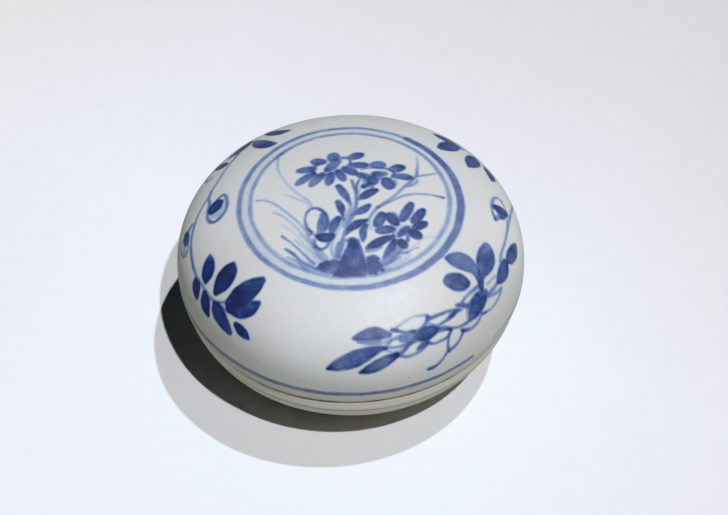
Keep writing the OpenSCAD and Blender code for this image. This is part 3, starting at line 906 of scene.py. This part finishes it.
# %% Mesh from rings
def make_mesh(name, turned, charts, waves, amounts):
    """charts: centre and radius on the map for the outside and the inside. amounts: values by point."""
    points = np.concatenate(turned.points)
    normals = np.concatenate(turned.normals)
    runs = np.concatenate(turned.runs)
    points = points + normals * waves[:, None]
    faces = [face for rows, _ in turned.faces for face in rows.tolist()]
    mesh = bpy.data.meshes.new(name)
    mesh.from_pydata((points * MM).tolist(), [], faces)
    for label, values in amounts.items():
        mesh.attributes.new(label, "FLOAT", "POINT").data.foreach_set("value", values.astype(np.float32))
    corners = np.concatenate([rows.ravel() for rows, _ in turned.faces])
    chart = np.concatenate([np.full(rows.size, side) for rows, side in turned.faces])
    angle = np.arctan2(points[corners, 1], points[corners, 0])
    total = runs.max()
    seam = runs[corners][chart == 0].max()
    flat = np.empty((len(corners), 2))
    for side, (cx, cy, radius) in enumerate(charts):
        rows = chart == side
        walked = runs[corners][rows]
        out = radius * (walked / seam if side == 0 else (total - walked) / (total - seam))
        flat[rows] = np.column_stack([cx + out * np.cos(angle[rows]), cy + out * np.sin(angle[rows])])
    layer = mesh.uv_layers.new(name="OFBake")
    layer.data.foreach_set("uv", flat.astype(np.float32).ravel())
    mesh.shade_smooth()
    mesh.normals_split_custom_set_from_vertices(normals.tolist())
    mesh.update()
    piece = bpy.data.objects.new(name, mesh)
    bpy.context.scene.collection.objects.link(piece)
    print(f"{name}: {len(points)} points, {len(faces)} faces")
    return piece


# %% [markdown]
# ## The lid
#
# Its outside is the painted disc, bent onto the dome. The rim face is bare clay, because the
# glaze was wiped off where the two pieces touch, or they would have fused in the kiln.

# %% Lid mesh
INNER_EDGE_R = 0.25
RIM_FLAT = (38.2, 37.6)
INSIDE_STEP = 1.15
lid_rings = Turned()
dome_points, dome_normals = on_lid(disc)
disc_run = np.hypot(disc[:, 0], disc[:, 1])
lid_rings.add(dome_points, dome_normals, disc_run)
lid_rings.faces.append((disc_tris, 0))
rim_rows = np.flatnonzero(disc_run > DISC_R - 1e-6)
rim_rows = rim_rows[np.argsort(np.arctan2(disc[rim_rows, 1], disc[rim_rows, 0]))]
rim_angles = np.arctan2(disc[rim_rows, 1], disc[rim_rows, 0])
rim_edge = corner(LID_RIM_R - EDGE_R, SEAM_Z + EDGE_R, EDGE_R, 0, -90, 7)
inner_edge = corner(LID_IN_R + INNER_EDGE_R, SEAM_Z + INNER_EDGE_R, INNER_EDGE_R, 270, 180, 5)
rim_face = np.vstack([rim_edge, [(r, SEAM_Z) for r in RIM_FLAT], inner_edge])
inside_dome = super_quarter(LID_IN_R, DOME_H - LID_WALL, DOME_FULLNESS, 1500)[::-1] + [0, WIDEST_Z]
inside = resample(np.vstack([inner_edge[-1:], [(LID_IN_R, WIDEST_Z - 1)], inside_dome]), INSIDE_STEP)
last, run = lid_rings.sweep(rim_face, DISC_R, rim_angles, rim_rows, 0)
RIM_END = run
last, run = lid_rings.sweep(inside, run, rim_angles, last, 1)

# %% Lid amounts: cobalt, its smoky part, bare clay and the rusty line where glaze stops
SMOKE_FROM = 48


def line_at(values, middle, half_width):
    """1 at the middle value, fading to nothing about half_width to each side."""
    return np.exp(-(((values - middle) / half_width) ** 2))


lid_points = np.concatenate(lid_rings.points)
lid_runs = np.concatenate(lid_rings.runs)
cobalt = np.zeros(len(lid_points))
cobalt[: len(disc)] = disc_cobalt
lid_smoke = 0.75 * smooth((lid_runs - SMOKE_FROM) / 1.5)
lid_bare = smooth((lid_runs - DISC_R - 0.2) / 0.35) * smooth((RIM_END + 0.3 - lid_runs) / 0.3)
lid_rust = line_at(lid_runs, DISC_R + 0.3, 0.3) + 0.5 * line_at(lid_runs, RIM_END + 0.1, 0.3)
lid_waves = uneven(lid_points, 0.06) * smooth((lid_points[:, 2] - SEAM_Z - 1) / 8)
LID_CHARTS = [(0.42, 0.42, 0.415), (0.865, 0.865, 0.128)]
lid_piece = make_mesh(
    "painted_lid", lid_rings, LID_CHARTS, lid_waves,
    {"cobalt": cobalt, "smoke": lid_smoke, "bare_clay": lid_bare, "rust": lid_rust},
)

# %% [markdown]
# ## The base
#
# The base is a shallow bowl on a foot ring. A step inside its rim, the flange, keeps the lid in
# place. Just under the seam the potter's tool left one fine groove, and one faint line of blue
# was pulled round below it.

# %% Base outline: recess, foot, wall, ledge and flange
WALL_H = (SEAM_Z - FOOT_H) / (1 - (FOOT_R / BASE_R) ** BASE_FULLNESS) ** (1 / BASE_FULLNESS)
GROOVE_Z = SEAM_Z - 2.1
GROOVE_DEEP = 0.13
LINE_Z = SEAM_Z - 4.2
LEDGE_EDGE_R = 0.3
FLANGE_EDGE_R = 0.5
FOOT_EDGE_R = 0.6
wall_z = np.linspace(FOOT_H + 0.35, SEAM_Z - EDGE_R, 1200)
wall_r = BASE_R * (1 - ((SEAM_Z - wall_z) / WALL_H) ** BASE_FULLNESS) ** (1 / BASE_FULLNESS)
wall_r = wall_r - GROOVE_DEEP * line_at(wall_z, GROOVE_Z, 0.22)
recess = [(0, FOOT_H), (FOOT_IN_R - 0.5, FOOT_H), (FOOT_IN_R - 0.15, FOOT_H - 0.15)]
foot = np.vstack([
    corner(FOOT_IN_R + FOOT_EDGE_R, FOOT_EDGE_R, FOOT_EDGE_R, 180, 270),
    corner(FOOT_R - FOOT_EDGE_R, FOOT_EDGE_R, FOOT_EDGE_R, 270, 360),
    [(FOOT_R, FOOT_H - 0.2)],
])
wall = np.column_stack([wall_r, wall_z])
ledge = np.vstack([
    corner(BASE_R - EDGE_R, SEAM_Z - EDGE_R, EDGE_R, 0, 90),
    [(FLANGE_R + LEDGE_EDGE_R, SEAM_Z)],
])
flange = np.vstack([
    corner(FLANGE_R + LEDGE_EDGE_R, SEAM_Z + LEDGE_EDGE_R, LEDGE_EDGE_R, 270, 180),
    corner(FLANGE_R - FLANGE_EDGE_R, FLANGE_TOP - FLANGE_EDGE_R, FLANGE_EDGE_R, 0, 90),
])
flange_in = corner(BOWL_R + FLANGE_EDGE_R, FLANGE_TOP - FLANGE_EDGE_R, FLANGE_EDGE_R, 90, 180)
bowl = super_quarter(BOWL_R, SEAM_Z - BOWL_FLOOR, BOWL_FULLNESS, 1500)[::-1]
bowl = np.column_stack([bowl[:, 0], SEAM_Z - bowl[:, 1]])

# %% Base mesh
BASE_SIDES = 240
outside = np.vstack([
    resample(np.vstack([recess, foot]), 0.3),
    resample(wall, 0.28),
    resample(np.vstack([ledge, flange]), 0.22),
])
base_inside = np.vstack([outside[-1:], resample(flange_in, 0.2), resample(bowl, 1.0)])
base_rings = Turned()
base_angles = np.arange(BASE_SIDES) * math.tau / BASE_SIDES
middle = base_rings.ring(outside[0], (0, -1), 0, np.zeros(1))[0]
first = base_rings.ring(outside[1], (0, -1), 0.3, base_angles)
fan = np.column_stack([np.roll(first, -1), first, np.full(len(first), middle)])
base_rings.faces.append((fan, 0))
last, run = base_rings.sweep(outside[1:], 0.3, base_angles, first, 0)
outside_count = sum(len(rows) for rows in base_rings.points)
last, run = base_rings.sweep(base_inside, run, base_angles, last, 1)

# %% Base amounts: one faint line of blue, the bare ledge and foot, and a rusty edge to each
BASE_SMOKE = 0.7
base_points = np.concatenate(base_rings.points)
base_r, base_z = np.hypot(base_points[:, 0], base_points[:, 1]), base_points[:, 2]
turn_angle = np.arctan2(base_points[:, 1], base_points[:, 0])
outer_wall = (np.arange(len(base_z)) < outside_count) & (base_r > BASE_R * 0.53) & (base_z < SEAM_Z)
line_z = LINE_Z + 0.12 * np.sin(2 * turn_angle + 1) + 0.05 * np.sin(7 * turn_angle)
base_cobalt = 0.3 * line_at(base_z, line_z, 0.34) * outer_wall
on_ledge = smooth((base_r - FLANGE_R + 1.0) / 0.5) * smooth((base_z - SEAM_Z + 0.45) / 0.3)
on_foot = smooth((0.75 - base_z) / 0.35)
base_bare = np.maximum(on_ledge, on_foot)
base_rust = line_at(base_z, SEAM_Z - 0.35, 0.3) * outer_wall + 0.8 * line_at(base_z, 0.8, 0.35)
away_from_edges = smooth((SEAM_Z - 2 - base_z) / 6) * smooth((base_z - 3) / 3)
base_waves = uneven(base_points, 0.04) * away_from_edges * outer_wall
BASE_CHARTS = [(0.305, 0.305, 0.3), (0.735, 0.735, 0.26)]
base_smoke = np.full(len(base_z), BASE_SMOKE)
base_piece = make_mesh(
    "plain_base", base_rings, BASE_CHARTS, base_waves,
    {"cobalt": base_cobalt, "smoke": base_smoke, "bare_clay": base_bare, "rust": base_rust},
)

# %% [markdown]
# ## Finishes
#
# Three things make this surface: white clay body under clear glaze, cobalt under the glaze, and
# bare clay where the glaze was wiped away. Each is a node group with named sockets, and both
# pieces use all of them. The shader itself stays in the material.


# %% Node helpers
def new_group(name, inputs, outputs):
    """An empty node group. inputs and outputs are lists of (name, kind, value)."""
    tree = bpy.data.node_groups.new(name, "ShaderNodeTree")
    for label, kind, value in inputs:
        socket = tree.interface.new_socket(name=label, in_out="INPUT", socket_type=kind)
        socket.default_value = value
    for label, kind in outputs:
        tree.interface.new_socket(name=label, in_out="OUTPUT", socket_type=kind)
    return tree, tree.nodes.new("NodeGroupInput"), tree.nodes.new("NodeGroupOutput")


def node(tree, kind, inputs=None, **settings):
    """A node with its settings and its inputs, which are values or other nodes' outputs."""
    made = tree.nodes.new(kind)
    for label, value in settings.items():
        setattr(made, label, value)
    for label, value in (inputs or {}).items():
        if isinstance(value, bpy.types.NodeSocket):
            tree.links.new(value, made.inputs[label])
        else:
            made.inputs[label].default_value = value
    return made


def math_node(tree, operation, a, b=0.0, c=0.0, clamp=False):
    """One Math node on up to three values or outputs."""
    inputs = {0: a, 1: b, 2: c}
    return node(tree, "ShaderNodeMath", inputs, operation=operation, use_clamp=clamp).outputs[0]


def remap(tree, value, low, high, to_low=0.0, to_high=1.0):
    """Stretches low..high to to_low..to_high, and holds the ends."""
    inputs = {"Value": value, "From Min": low, "From Max": high, "To Min": to_low, "To Max": to_high}
    return node(tree, "ShaderNodeMapRange", inputs).outputs["Result"]


def noise(tree, place, per_mm, detail=2.0, offset=(0, 0, 0)):
    """Noise whose features repeat about per_mm times in each millimetre."""
    moved = node(tree, "ShaderNodeVectorMath", {0: place, 1: offset}, operation="ADD").outputs[0]
    inputs = {"Vector": moved, "Scale": per_mm / MM, "Detail": detail}
    return node(tree, "ShaderNodeTexNoise", inputs).outputs["Fac"]


def scaled(tree, colour, amount):
    """A colour made lighter or darker."""
    return node(tree, "ShaderNodeVectorMath", {0: colour, "Scale": amount}, operation="SCALE").outputs[0]


def mix_colour(tree, factor, a, b, blend="MIX"):
    """From colour a at factor 0 to colour b at factor 1."""
    made = node(tree, "ShaderNodeMix", data_type="RGBA", blend_type=blend)
    for socket, value in zip((made.inputs[0], made.inputs[6], made.inputs[7]), (factor, a, b)):
        if isinstance(value, bpy.types.NodeSocket):
            tree.links.new(value, socket)
        else:
            socket.default_value = value
    return made.outputs[2]


def ramp(tree, factor, stops):
    """A colour ramp with stops of (position, (r, g, b))."""
    made = node(tree, "ShaderNodeValToRGB", {"Fac": factor})
    elements = made.color_ramp.elements
    while len(elements) < len(stops):
        elements.new(0.5)
    for element, (position, colour) in zip(elements, stops):
        element.position = position
        element.color = (*colour, 1)
    return made.outputs["Color"]


# %% [markdown]
# ** White glaze, with painted shade.** The clear glaze is not one white. It is cooler in places and a little pink
# where the clay shows through. Here and there a grain of iron came up as a dark speck. The surface
# has the slight orange peel of an old satin glaze. All of this could be painted on the mesh too,
# but noise in the material stays sharp however near the eye comes.
#
# The group also paints shade into the white: it makes it a little greyer towards the back and on
# the two front shoulders. That is painted shade, not a trait of the glaze: in a real room the
# light falls off there sooner than it does under two plain lamps.


# %% White glaze group, with painted shade
# Painted shade: how much greyer the white is made towards the back and on the front shoulders.
PAINTED_SHADE_BACK = (-18 * MM, 26 * MM, 1.02, 0.88)
PAINTED_SHADE_SHOULDERS = 0.17


def painted_shade_fall_off(tree, place):
    """Painted shade: the glaze's colour made greyer to the back, and on the shoulders at the front left
    and right.
    """
    x, y, z = node(tree, "ShaderNodeSeparateXYZ", {"Vector": place}).outputs
    light = remap(tree, math_node(tree, "MULTIPLY_ADD", x, -0.2, y), *PAINTED_SHADE_BACK)
    aside = remap(tree, math_node(tree, "ABSOLUTE", x), 12 * MM, 28 * MM)
    high = remap(tree, z, 27 * MM, 34 * MM)
    front = remap(tree, y, -4 * MM, -18 * MM)
    shoulder = math_node(tree, "MULTIPLY", math_node(tree, "MULTIPLY", aside, high), front)
    less = math_node(tree, "MULTIPLY_ADD", shoulder, -PAINTED_SHADE_SHOULDERS, 1.0)
    return math_node(tree, "MULTIPLY", light, less)


def iron_specks(tree, place):
    """Small round dots, in a few of the cells of a coarse Voronoi pattern."""
    cells = node(tree, "ShaderNodeTexVoronoi", {"Vector": place, "Scale": 0.16 / MM, "Randomness": 1.0})
    dot = remap(tree, cells.outputs["Distance"], 0.022, 0.045, 1, 0)
    chance = node(tree, "ShaderNodeSeparateColor", {"Color": cells.outputs["Color"]}).outputs[0]
    return math_node(tree, "MULTIPLY", dot, remap(tree, chance, 0.8, 0.98))


def build_glaze_with_painted_shade():
    """Its colour, its roughness, and a height for the bump."""
    tree, ins, outs = new_group(
        "White glaze with painted shade",
        [
            ("Body", "NodeSocketColor", (0.62, 0.63, 0.635, 1)),
            ("Blush", "NodeSocketColor", (0.64, 0.61, 0.61, 1)),
            ("Speck Amount", "NodeSocketFloat", 1.0),
            ("Peel", "NodeSocketFloat", 1.0),
        ],
        [("Color", "NodeSocketColor"), ("Roughness", "NodeSocketFloat"), ("Height", "NodeSocketFloat")],
    )
    place = node(tree, "ShaderNodeTexCoord").outputs["Object"]
    cloud = remap(tree, noise(tree, place, 0.06, 3), 0.4, 0.68)
    colour = mix_colour(tree, cloud, ins.outputs["Body"], ins.outputs["Blush"])
    # Painted shade: the white is made greyer to the back and on the front shoulders.
    colour = scaled(tree, colour, painted_shade_fall_off(tree, place))
    fine = remap(tree, noise(tree, place, 0.9, 3, (0.3, 0, 0)), 0.3, 0.7, 0.972, 1.02)
    colour = scaled(tree, colour, fine)
    speck = math_node(tree, "MULTIPLY", iron_specks(tree, place), ins.outputs["Speck Amount"])
    colour = mix_colour(tree, speck, colour, (0.16, 0.12, 0.1, 1))
    rough = remap(tree, noise(tree, place, 0.5, 2, (0, 0.2, 0)), 0.35, 0.65, 0.42, 0.52)
    peel = noise(tree, place, 0.55, 2, (0, 0, 0.4))
    grit = noise(tree, place, 3.2, 1, (0.1, 0, 0.4))
    height = math_node(tree, "MULTIPLY_ADD", grit, 0.25, peel)
    tree.links.new(colour, outs.inputs["Color"])
    tree.links.new(rough, outs.inputs["Roughness"])
    tree.links.new(math_node(tree, "MULTIPLY", height, ins.outputs["Peel"]), outs.inputs["Height"])
    print("White glaze with painted shade group:", len(tree.nodes), "nodes")
    return tree


glaze_with_painted_shade = build_glaze_with_painted_shade()

# %% [markdown]
# **Cobalt under glaze.** Thin cobalt is a pale clear blue and thick cobalt is nearly black. The
# amounts were worked out at the mesh's points. Here they are clouded a little, as the pigment
# settles, and then read as a colour that stains the glaze. `Smoke` turns the blue greyer, as it
# is in the thin lines on both sides of the seam.


# %% Cobalt group
BLUES = [
    (0.0, (1, 1, 1)), (0.15, (0.73, 0.83, 0.945)), (0.3, (0.44, 0.55, 0.79)), (0.45, (0.25, 0.335, 0.6)),
    (0.65, (0.13, 0.17, 0.41)), (0.8, (0.076, 0.103, 0.25)), (1.0, (0.068, 0.08, 0.122)),
]
SMOKY_BLUES = [
    (0.0, (1, 1, 1)), (0.3, (0.46, 0.48, 0.64)), (0.6, (0.18, 0.18, 0.33)), (1.0, (0.05, 0.05, 0.09)),
]


def build_cobalt():
    """The glaze's colour, stained by an amount of cobalt from 0 to 1."""
    tree, ins, outs = new_group(
        "Cobalt under glaze",
        [
            ("Glaze", "NodeSocketColor", (0.6, 0.6, 0.6, 1)),
            ("Amount", "NodeSocketFloat", 0.0),
            ("Smoke", "NodeSocketFloat", 0.0),
        ],
        [("Color", "NodeSocketColor")],
    )
    place = node(tree, "ShaderNodeTexCoord").outputs["Object"]
    cloud = remap(tree, noise(tree, place, 0.33, 3, (0.7, 0, 0)), 0.3, 0.7, 0.86, 1.14)
    grain = remap(tree, noise(tree, place, 2.6, 2, (0, 0.7, 0)), 0.3, 0.7, 0.93, 1.07)
    settled = math_node(tree, "MULTIPLY", cloud, grain)
    amount = math_node(tree, "MULTIPLY", ins.outputs["Amount"], settled, clamp=True)
    stain = mix_colour(
        tree, ins.outputs["Smoke"], ramp(tree, amount, BLUES), ramp(tree, amount, SMOKY_BLUES))
    colour = mix_colour(tree, 1.0, ins.outputs["Glaze"], stain, "MULTIPLY")
    tree.links.new(colour, outs.inputs["Color"])
    print("Cobalt group:", len(tree.nodes), "nodes")
    return tree


cobalt_under_glaze = build_cobalt()

# %% [markdown]
# **Bare clay.** Where the glaze was wiped off, the fired clay is cream, dry and matt. Iron in
# the clay leaves a thin rusty line where the glaze stops, broken up along its length.


# %% Bare clay group
CLAY_LIGHT = (0.6, 0.54, 0.45, 1)
CLAY_DARK = (0.47, 0.4, 0.32, 1)
RUST = (0.24, 0.13, 0.085, 1)
CLAY_ROUGHNESS = 0.8


def build_bare_clay():
    """Bare clay and rust laid over a finished surface, where their masks say so."""
    tree, ins, outs = new_group(
        "Bare clay",
        [
            ("Surface", "NodeSocketColor", (0.6, 0.6, 0.6, 1)),
            ("Surface Roughness", "NodeSocketFloat", 0.4),
            ("Bare", "NodeSocketFloat", 0.0),
            ("Rust", "NodeSocketFloat", 0.0),
        ],
        [("Color", "NodeSocketColor"), ("Roughness", "NodeSocketFloat")],
    )
    place = node(tree, "ShaderNodeTexCoord").outputs["Object"]
    clay = mix_colour(tree, noise(tree, place, 1.4, 3, (0, 0.1, 0.9)), CLAY_LIGHT, CLAY_DARK)
    broken = remap(tree, noise(tree, place, 0.16, 3, (0.5, 0.5, 0)), 0.36, 0.62, 0.15, 1.0)
    rust = math_node(tree, "MULTIPLY", ins.outputs["Rust"], broken, clamp=True)
    colour = mix_colour(tree, ins.outputs["Bare"], ins.outputs["Surface"], clay)
    colour = mix_colour(tree, rust, colour, RUST)
    rough = node(tree, "ShaderNodeMix", {
        0: ins.outputs["Bare"], 2: ins.outputs["Surface Roughness"], 3: CLAY_ROUGHNESS})
    tree.links.new(colour, outs.inputs["Color"])
    tree.links.new(rough.outputs[0], outs.inputs["Roughness"])
    print("Bare clay group:", len(tree.nodes), "nodes")
    return tree


bare_clay = build_bare_clay()


# %% Porcelain material
def porcelain(name, body, blush, specks, peel):
    """Glaze, then the blue in it, then bare clay over both, into one shader."""
    material = bpy.data.materials.new(name)
    material.use_nodes = True
    tree = material.node_tree
    tree.nodes.clear()

    def read(label):
        """The amount that the mesh holds at its points under this name."""
        return node(tree, "ShaderNodeAttribute", attribute_name=label).outputs["Fac"]

    glaze = node(tree, "ShaderNodeGroup", node_tree=glaze_with_painted_shade)
    for label, value in (("Body", body), ("Blush", blush), ("Speck Amount", specks), ("Peel", peel)):
        glaze.inputs[label].default_value = value
    blue = node(tree, "ShaderNodeGroup", node_tree=cobalt_under_glaze)
    tree.links.new(glaze.outputs["Color"], blue.inputs["Glaze"])
    tree.links.new(read("cobalt"), blue.inputs["Amount"])
    tree.links.new(read("smoke"), blue.inputs["Smoke"])
    clay = node(tree, "ShaderNodeGroup", node_tree=bare_clay)
    tree.links.new(blue.outputs["Color"], clay.inputs["Surface"])
    tree.links.new(glaze.outputs["Roughness"], clay.inputs["Surface Roughness"])
    tree.links.new(read("bare_clay"), clay.inputs["Bare"])
    tree.links.new(read("rust"), clay.inputs["Rust"])
    bump = node(tree, "ShaderNodeBump", {
        "Height": glaze.outputs["Height"], "Strength": 0.3, "Distance": 0.05 * MM})
    shader = node(tree, "ShaderNodeBsdfPrincipled", {
        "Base Color": clay.outputs["Color"], "Roughness": clay.outputs["Roughness"],
        "Normal": bump.outputs["Normal"], "IOR": 1.5, "Specular IOR Level": 0.4})
    output = node(tree, "ShaderNodeOutputMaterial")
    tree.links.new(shader.outputs["BSDF"], output.inputs["Surface"])
    return material


# %% [markdown]
# Both pieces get the same material with their own values. On a real box they share one glaze.
# Here the base is set lighter and warmer than the lid, because it stands in the lid's shade, and
# most of its light comes up from the board, which throws back little.

# %% Put the finishes on the pieces
lid_piece.data.materials.append(
    porcelain("painted_porcelain", (0.645, 0.665, 0.665, 1), (0.665, 0.65, 0.65, 1), 1.0, 1.0))
base_piece.data.materials.append(
    porcelain("plain_porcelain", (0.87, 0.86, 0.815, 1), (0.87, 0.84, 0.79, 1), 0.8, 1.0))
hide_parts("lid")
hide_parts("base")
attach(lid_piece, frame["record"]["behaviour"]["joints"][0]["child"])
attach(base_piece, frame["record"]["behaviour"]["joints"][0]["parent"])
print("finishes:", [piece.data.materials[0].name for piece in (lid_piece, base_piece)])

# %% [markdown]
# ## Floor, light and camera
#
# The box stands on a plain pale board. Two lamps of nearly equal strength stand to the right, one
# towards the front and one at the side. Where only one of them is blocked the shadow is half lit,
# and only where both are blocked is the board dark. The board looks near white, but it throws
# back only as much light as a grey one, or the box would be as bright below as on top. Its colour
# is painted darker towards the far right, as painted shade where the light falls off, and turns a
# little warmer to both sides.

# %% Floor
FLOOR_R = 2.5
BOARD_NEAR = (0.91, 0.9, 0.915, 1)
# Painted shade: the board's colour at its far right, darker where the light falls off.
BOARD_FAR_PAINTED_SHADE = (0.64, 0.61, 0.64, 1)
BOARD_SIDES = (0.96, 0.92, 0.89, 1)
BOARD_BOUNCE = (0.4, 0.4, 0.35, 1)
bpy.ops.mesh.primitive_circle_add(vertices=128, radius=FLOOR_R, fill_type="NGON")
floor = bpy.context.object
floor.name = "pale_board"
board = bpy.data.materials.new("pale_board")
board.use_nodes = True
board_tree = board.node_tree
shader = board_tree.nodes["Principled BSDF"]
place = node(board_tree, "ShaderNodeTexCoord").outputs["Object"]
board_x, board_y, _ = node(board_tree, "ShaderNodeSeparateXYZ", {"Vector": place}).outputs
# Painted shade: the board's colour darkens towards the far right.
slope = math_node(board_tree, "MULTIPLY_ADD", board_x, 0.6, board_y)
tint = mix_colour(board_tree, remap(board_tree, slope, 0.02, 0.21), BOARD_NEAR, BOARD_FAR_PAINTED_SHADE)
sideways = math_node(board_tree, "MULTIPLY_ADD", board_y, -0.42, board_x)
sideways = math_node(board_tree, "ABSOLUTE", math_node(board_tree, "ADD", sideways, 0.014))
tint = mix_colour(board_tree, remap(board_tree, sideways, 0.06, 0.125), tint, BOARD_SIDES, "MULTIPLY")
tooth = remap(board_tree, noise(board_tree, place, 0.25, 3), 0.3, 0.7, 0.985, 1.015)
to_eye = node(board_tree, "ShaderNodeLightPath").outputs["Is Camera Ray"]
tint = mix_colour(board_tree, to_eye, BOARD_BOUNCE, scaled(board_tree, tint, tooth))
board_tree.links.new(tint, shader.inputs["Base Color"])
shader.inputs["Roughness"].default_value = 0.85
shader.inputs["Specular IOR Level"].default_value = 0.1
floor.data.materials.append(board)
print(f"board: a disc {2 * FLOOR_R:.0f} m across")


# %% Lamps
def lamp(name, azimuth, elevation, strength, colour, width):
    """A sun lamp. azimuth is measured from +X towards +Y, width is its size in degrees."""
    data = bpy.data.lights.new(name, "SUN")
    data.energy = strength
    data.color = colour
    data.angle = math.radians(width)
    sun = bpy.data.objects.new(name, data)
    sun.rotation_euler = (0, math.radians(90 - elevation), math.radians(azimuth))
    bpy.context.scene.collection.objects.link(sun)
    return sun


LAMP_COLOUR = (0.98, 1.0, 1.04)
LAMP_WIDTH = 1.2
lamp("front_lamp", -62.4, 63.0, 2.02, LAMP_COLOUR, LAMP_WIDTH)
lamp("side_lamp", 4.0, 75.5, 1.72, LAMP_COLOUR, LAMP_WIDTH)

# %% Room light: very little of it, but the camera and the glaze see a pale room
world = bpy.data.worlds.new("room")
bpy.context.scene.world = world
world.use_nodes = True
room = world.node_tree
room.nodes.clear()
rays = node(room, "ShaderNodeLightPath")
dim = node(room, "ShaderNodeBackground", {"Color": (0.9, 0.95, 1, 1), "Strength": 0.003})
seen = node(room, "ShaderNodeBackground", {"Color": (0.84, 0.85, 0.87, 1), "Strength": 1.0})
soft = node(room, "ShaderNodeBackground", {"Color": (0.95, 0.97, 1, 1), "Strength": 0.35})
gloss = node(room, "ShaderNodeMixShader", {
    0: rays.outputs["Is Glossy Ray"], 1: dim.outputs[0], 2: soft.outputs[0]})
view = node(room, "ShaderNodeMixShader", {
    0: rays.outputs["Is Camera Ray"], 1: gloss.outputs[0], 2: seen.outputs[0]})
room.links.new(view.outputs[0], node(room, "ShaderNodeOutputWorld").inputs["Surface"])
print("room:", len(room.nodes), "nodes")

# %% Camera
VIEW_UP = math.radians(47.52)
VIEW_FAR = 500 * MM
LEAN = math.radians(-0.765)
LENS = 106.83
AIM_ASIDE = 3.03
AIM_ABOVE = 0.5
centre = Vector((0, 0, WIDEST_Z * MM))
toward = Vector((0, -math.cos(VIEW_UP), math.sin(VIEW_UP)))
camera_data = bpy.data.cameras.new("camera")
camera_data.sensor_width = 36
camera_data.lens = LENS
camera_data.clip_start = 0.01
camera = bpy.data.objects.new("camera", camera_data)
camera.location = centre + toward * VIEW_FAR
upward = Vector((0, math.sin(VIEW_UP), math.cos(VIEW_UP)))
aim = centre + Vector((AIM_ASIDE, 0, 0)) * MM + upward * AIM_ABOVE * MM
look = (aim - camera.location).to_track_quat("-Z", "Y").to_matrix()
camera.rotation_euler = (look @ Matrix.Rotation(LEAN, 3, "Z")).to_euler()
bpy.context.scene.collection.objects.link(camera)
bpy.context.scene.camera = camera
bpy.context.view_layer.update()
print(f"camera: {VIEW_FAR / MM:.0f} mm away, {math.degrees(VIEW_UP):.1f} degrees above the board")

# %% [markdown]
# Last comes the print. A plain render of white on white looks flat. A tone curve does what a
# printer does: it deepens the darkest shadow and eases the brightest whites. The curve's low end
# differs a little by channel, so the shadow stays neutral, and so does its high end, so the board
# stays a cool white.

# %% How the render is printed
TOES = (
    ((0.02, 0.006), (0.04, 0.016), (0.05, 0.025), (0.065, 0.055)),
    ((0.02, 0.008), (0.04, 0.019), (0.05, 0.027), (0.065, 0.054)),
    ((0.02, 0.01), (0.04, 0.022), (0.05, 0.036), (0.065, 0.06)),
)
MIDTONES = ((0.1, 0.11), (0.4, 0.5), (0.52, 0.63), (0.68, 0.77))
WHITES = (0.865, 0.905, 0.958)
scene = bpy.context.scene
scene.view_settings.view_transform = "Standard"
scene.view_settings.look = "None"
scene.view_settings.use_curve_mapping = True
curves = scene.view_settings.curve_mapping
curves.white_level = (1.25, 1.25, 1.25)
for channel, toe, white in zip(curves.curves[:3], TOES, WHITES):
    for x, y in (*toe, *MIDTONES, (0.84, white)):
        channel.points.new(x, y)
    channel.points[-1].location = (1.0, 1.0)
curves.update()
print("tone curve:", len(curves.curves[0].points), "points in each channel")
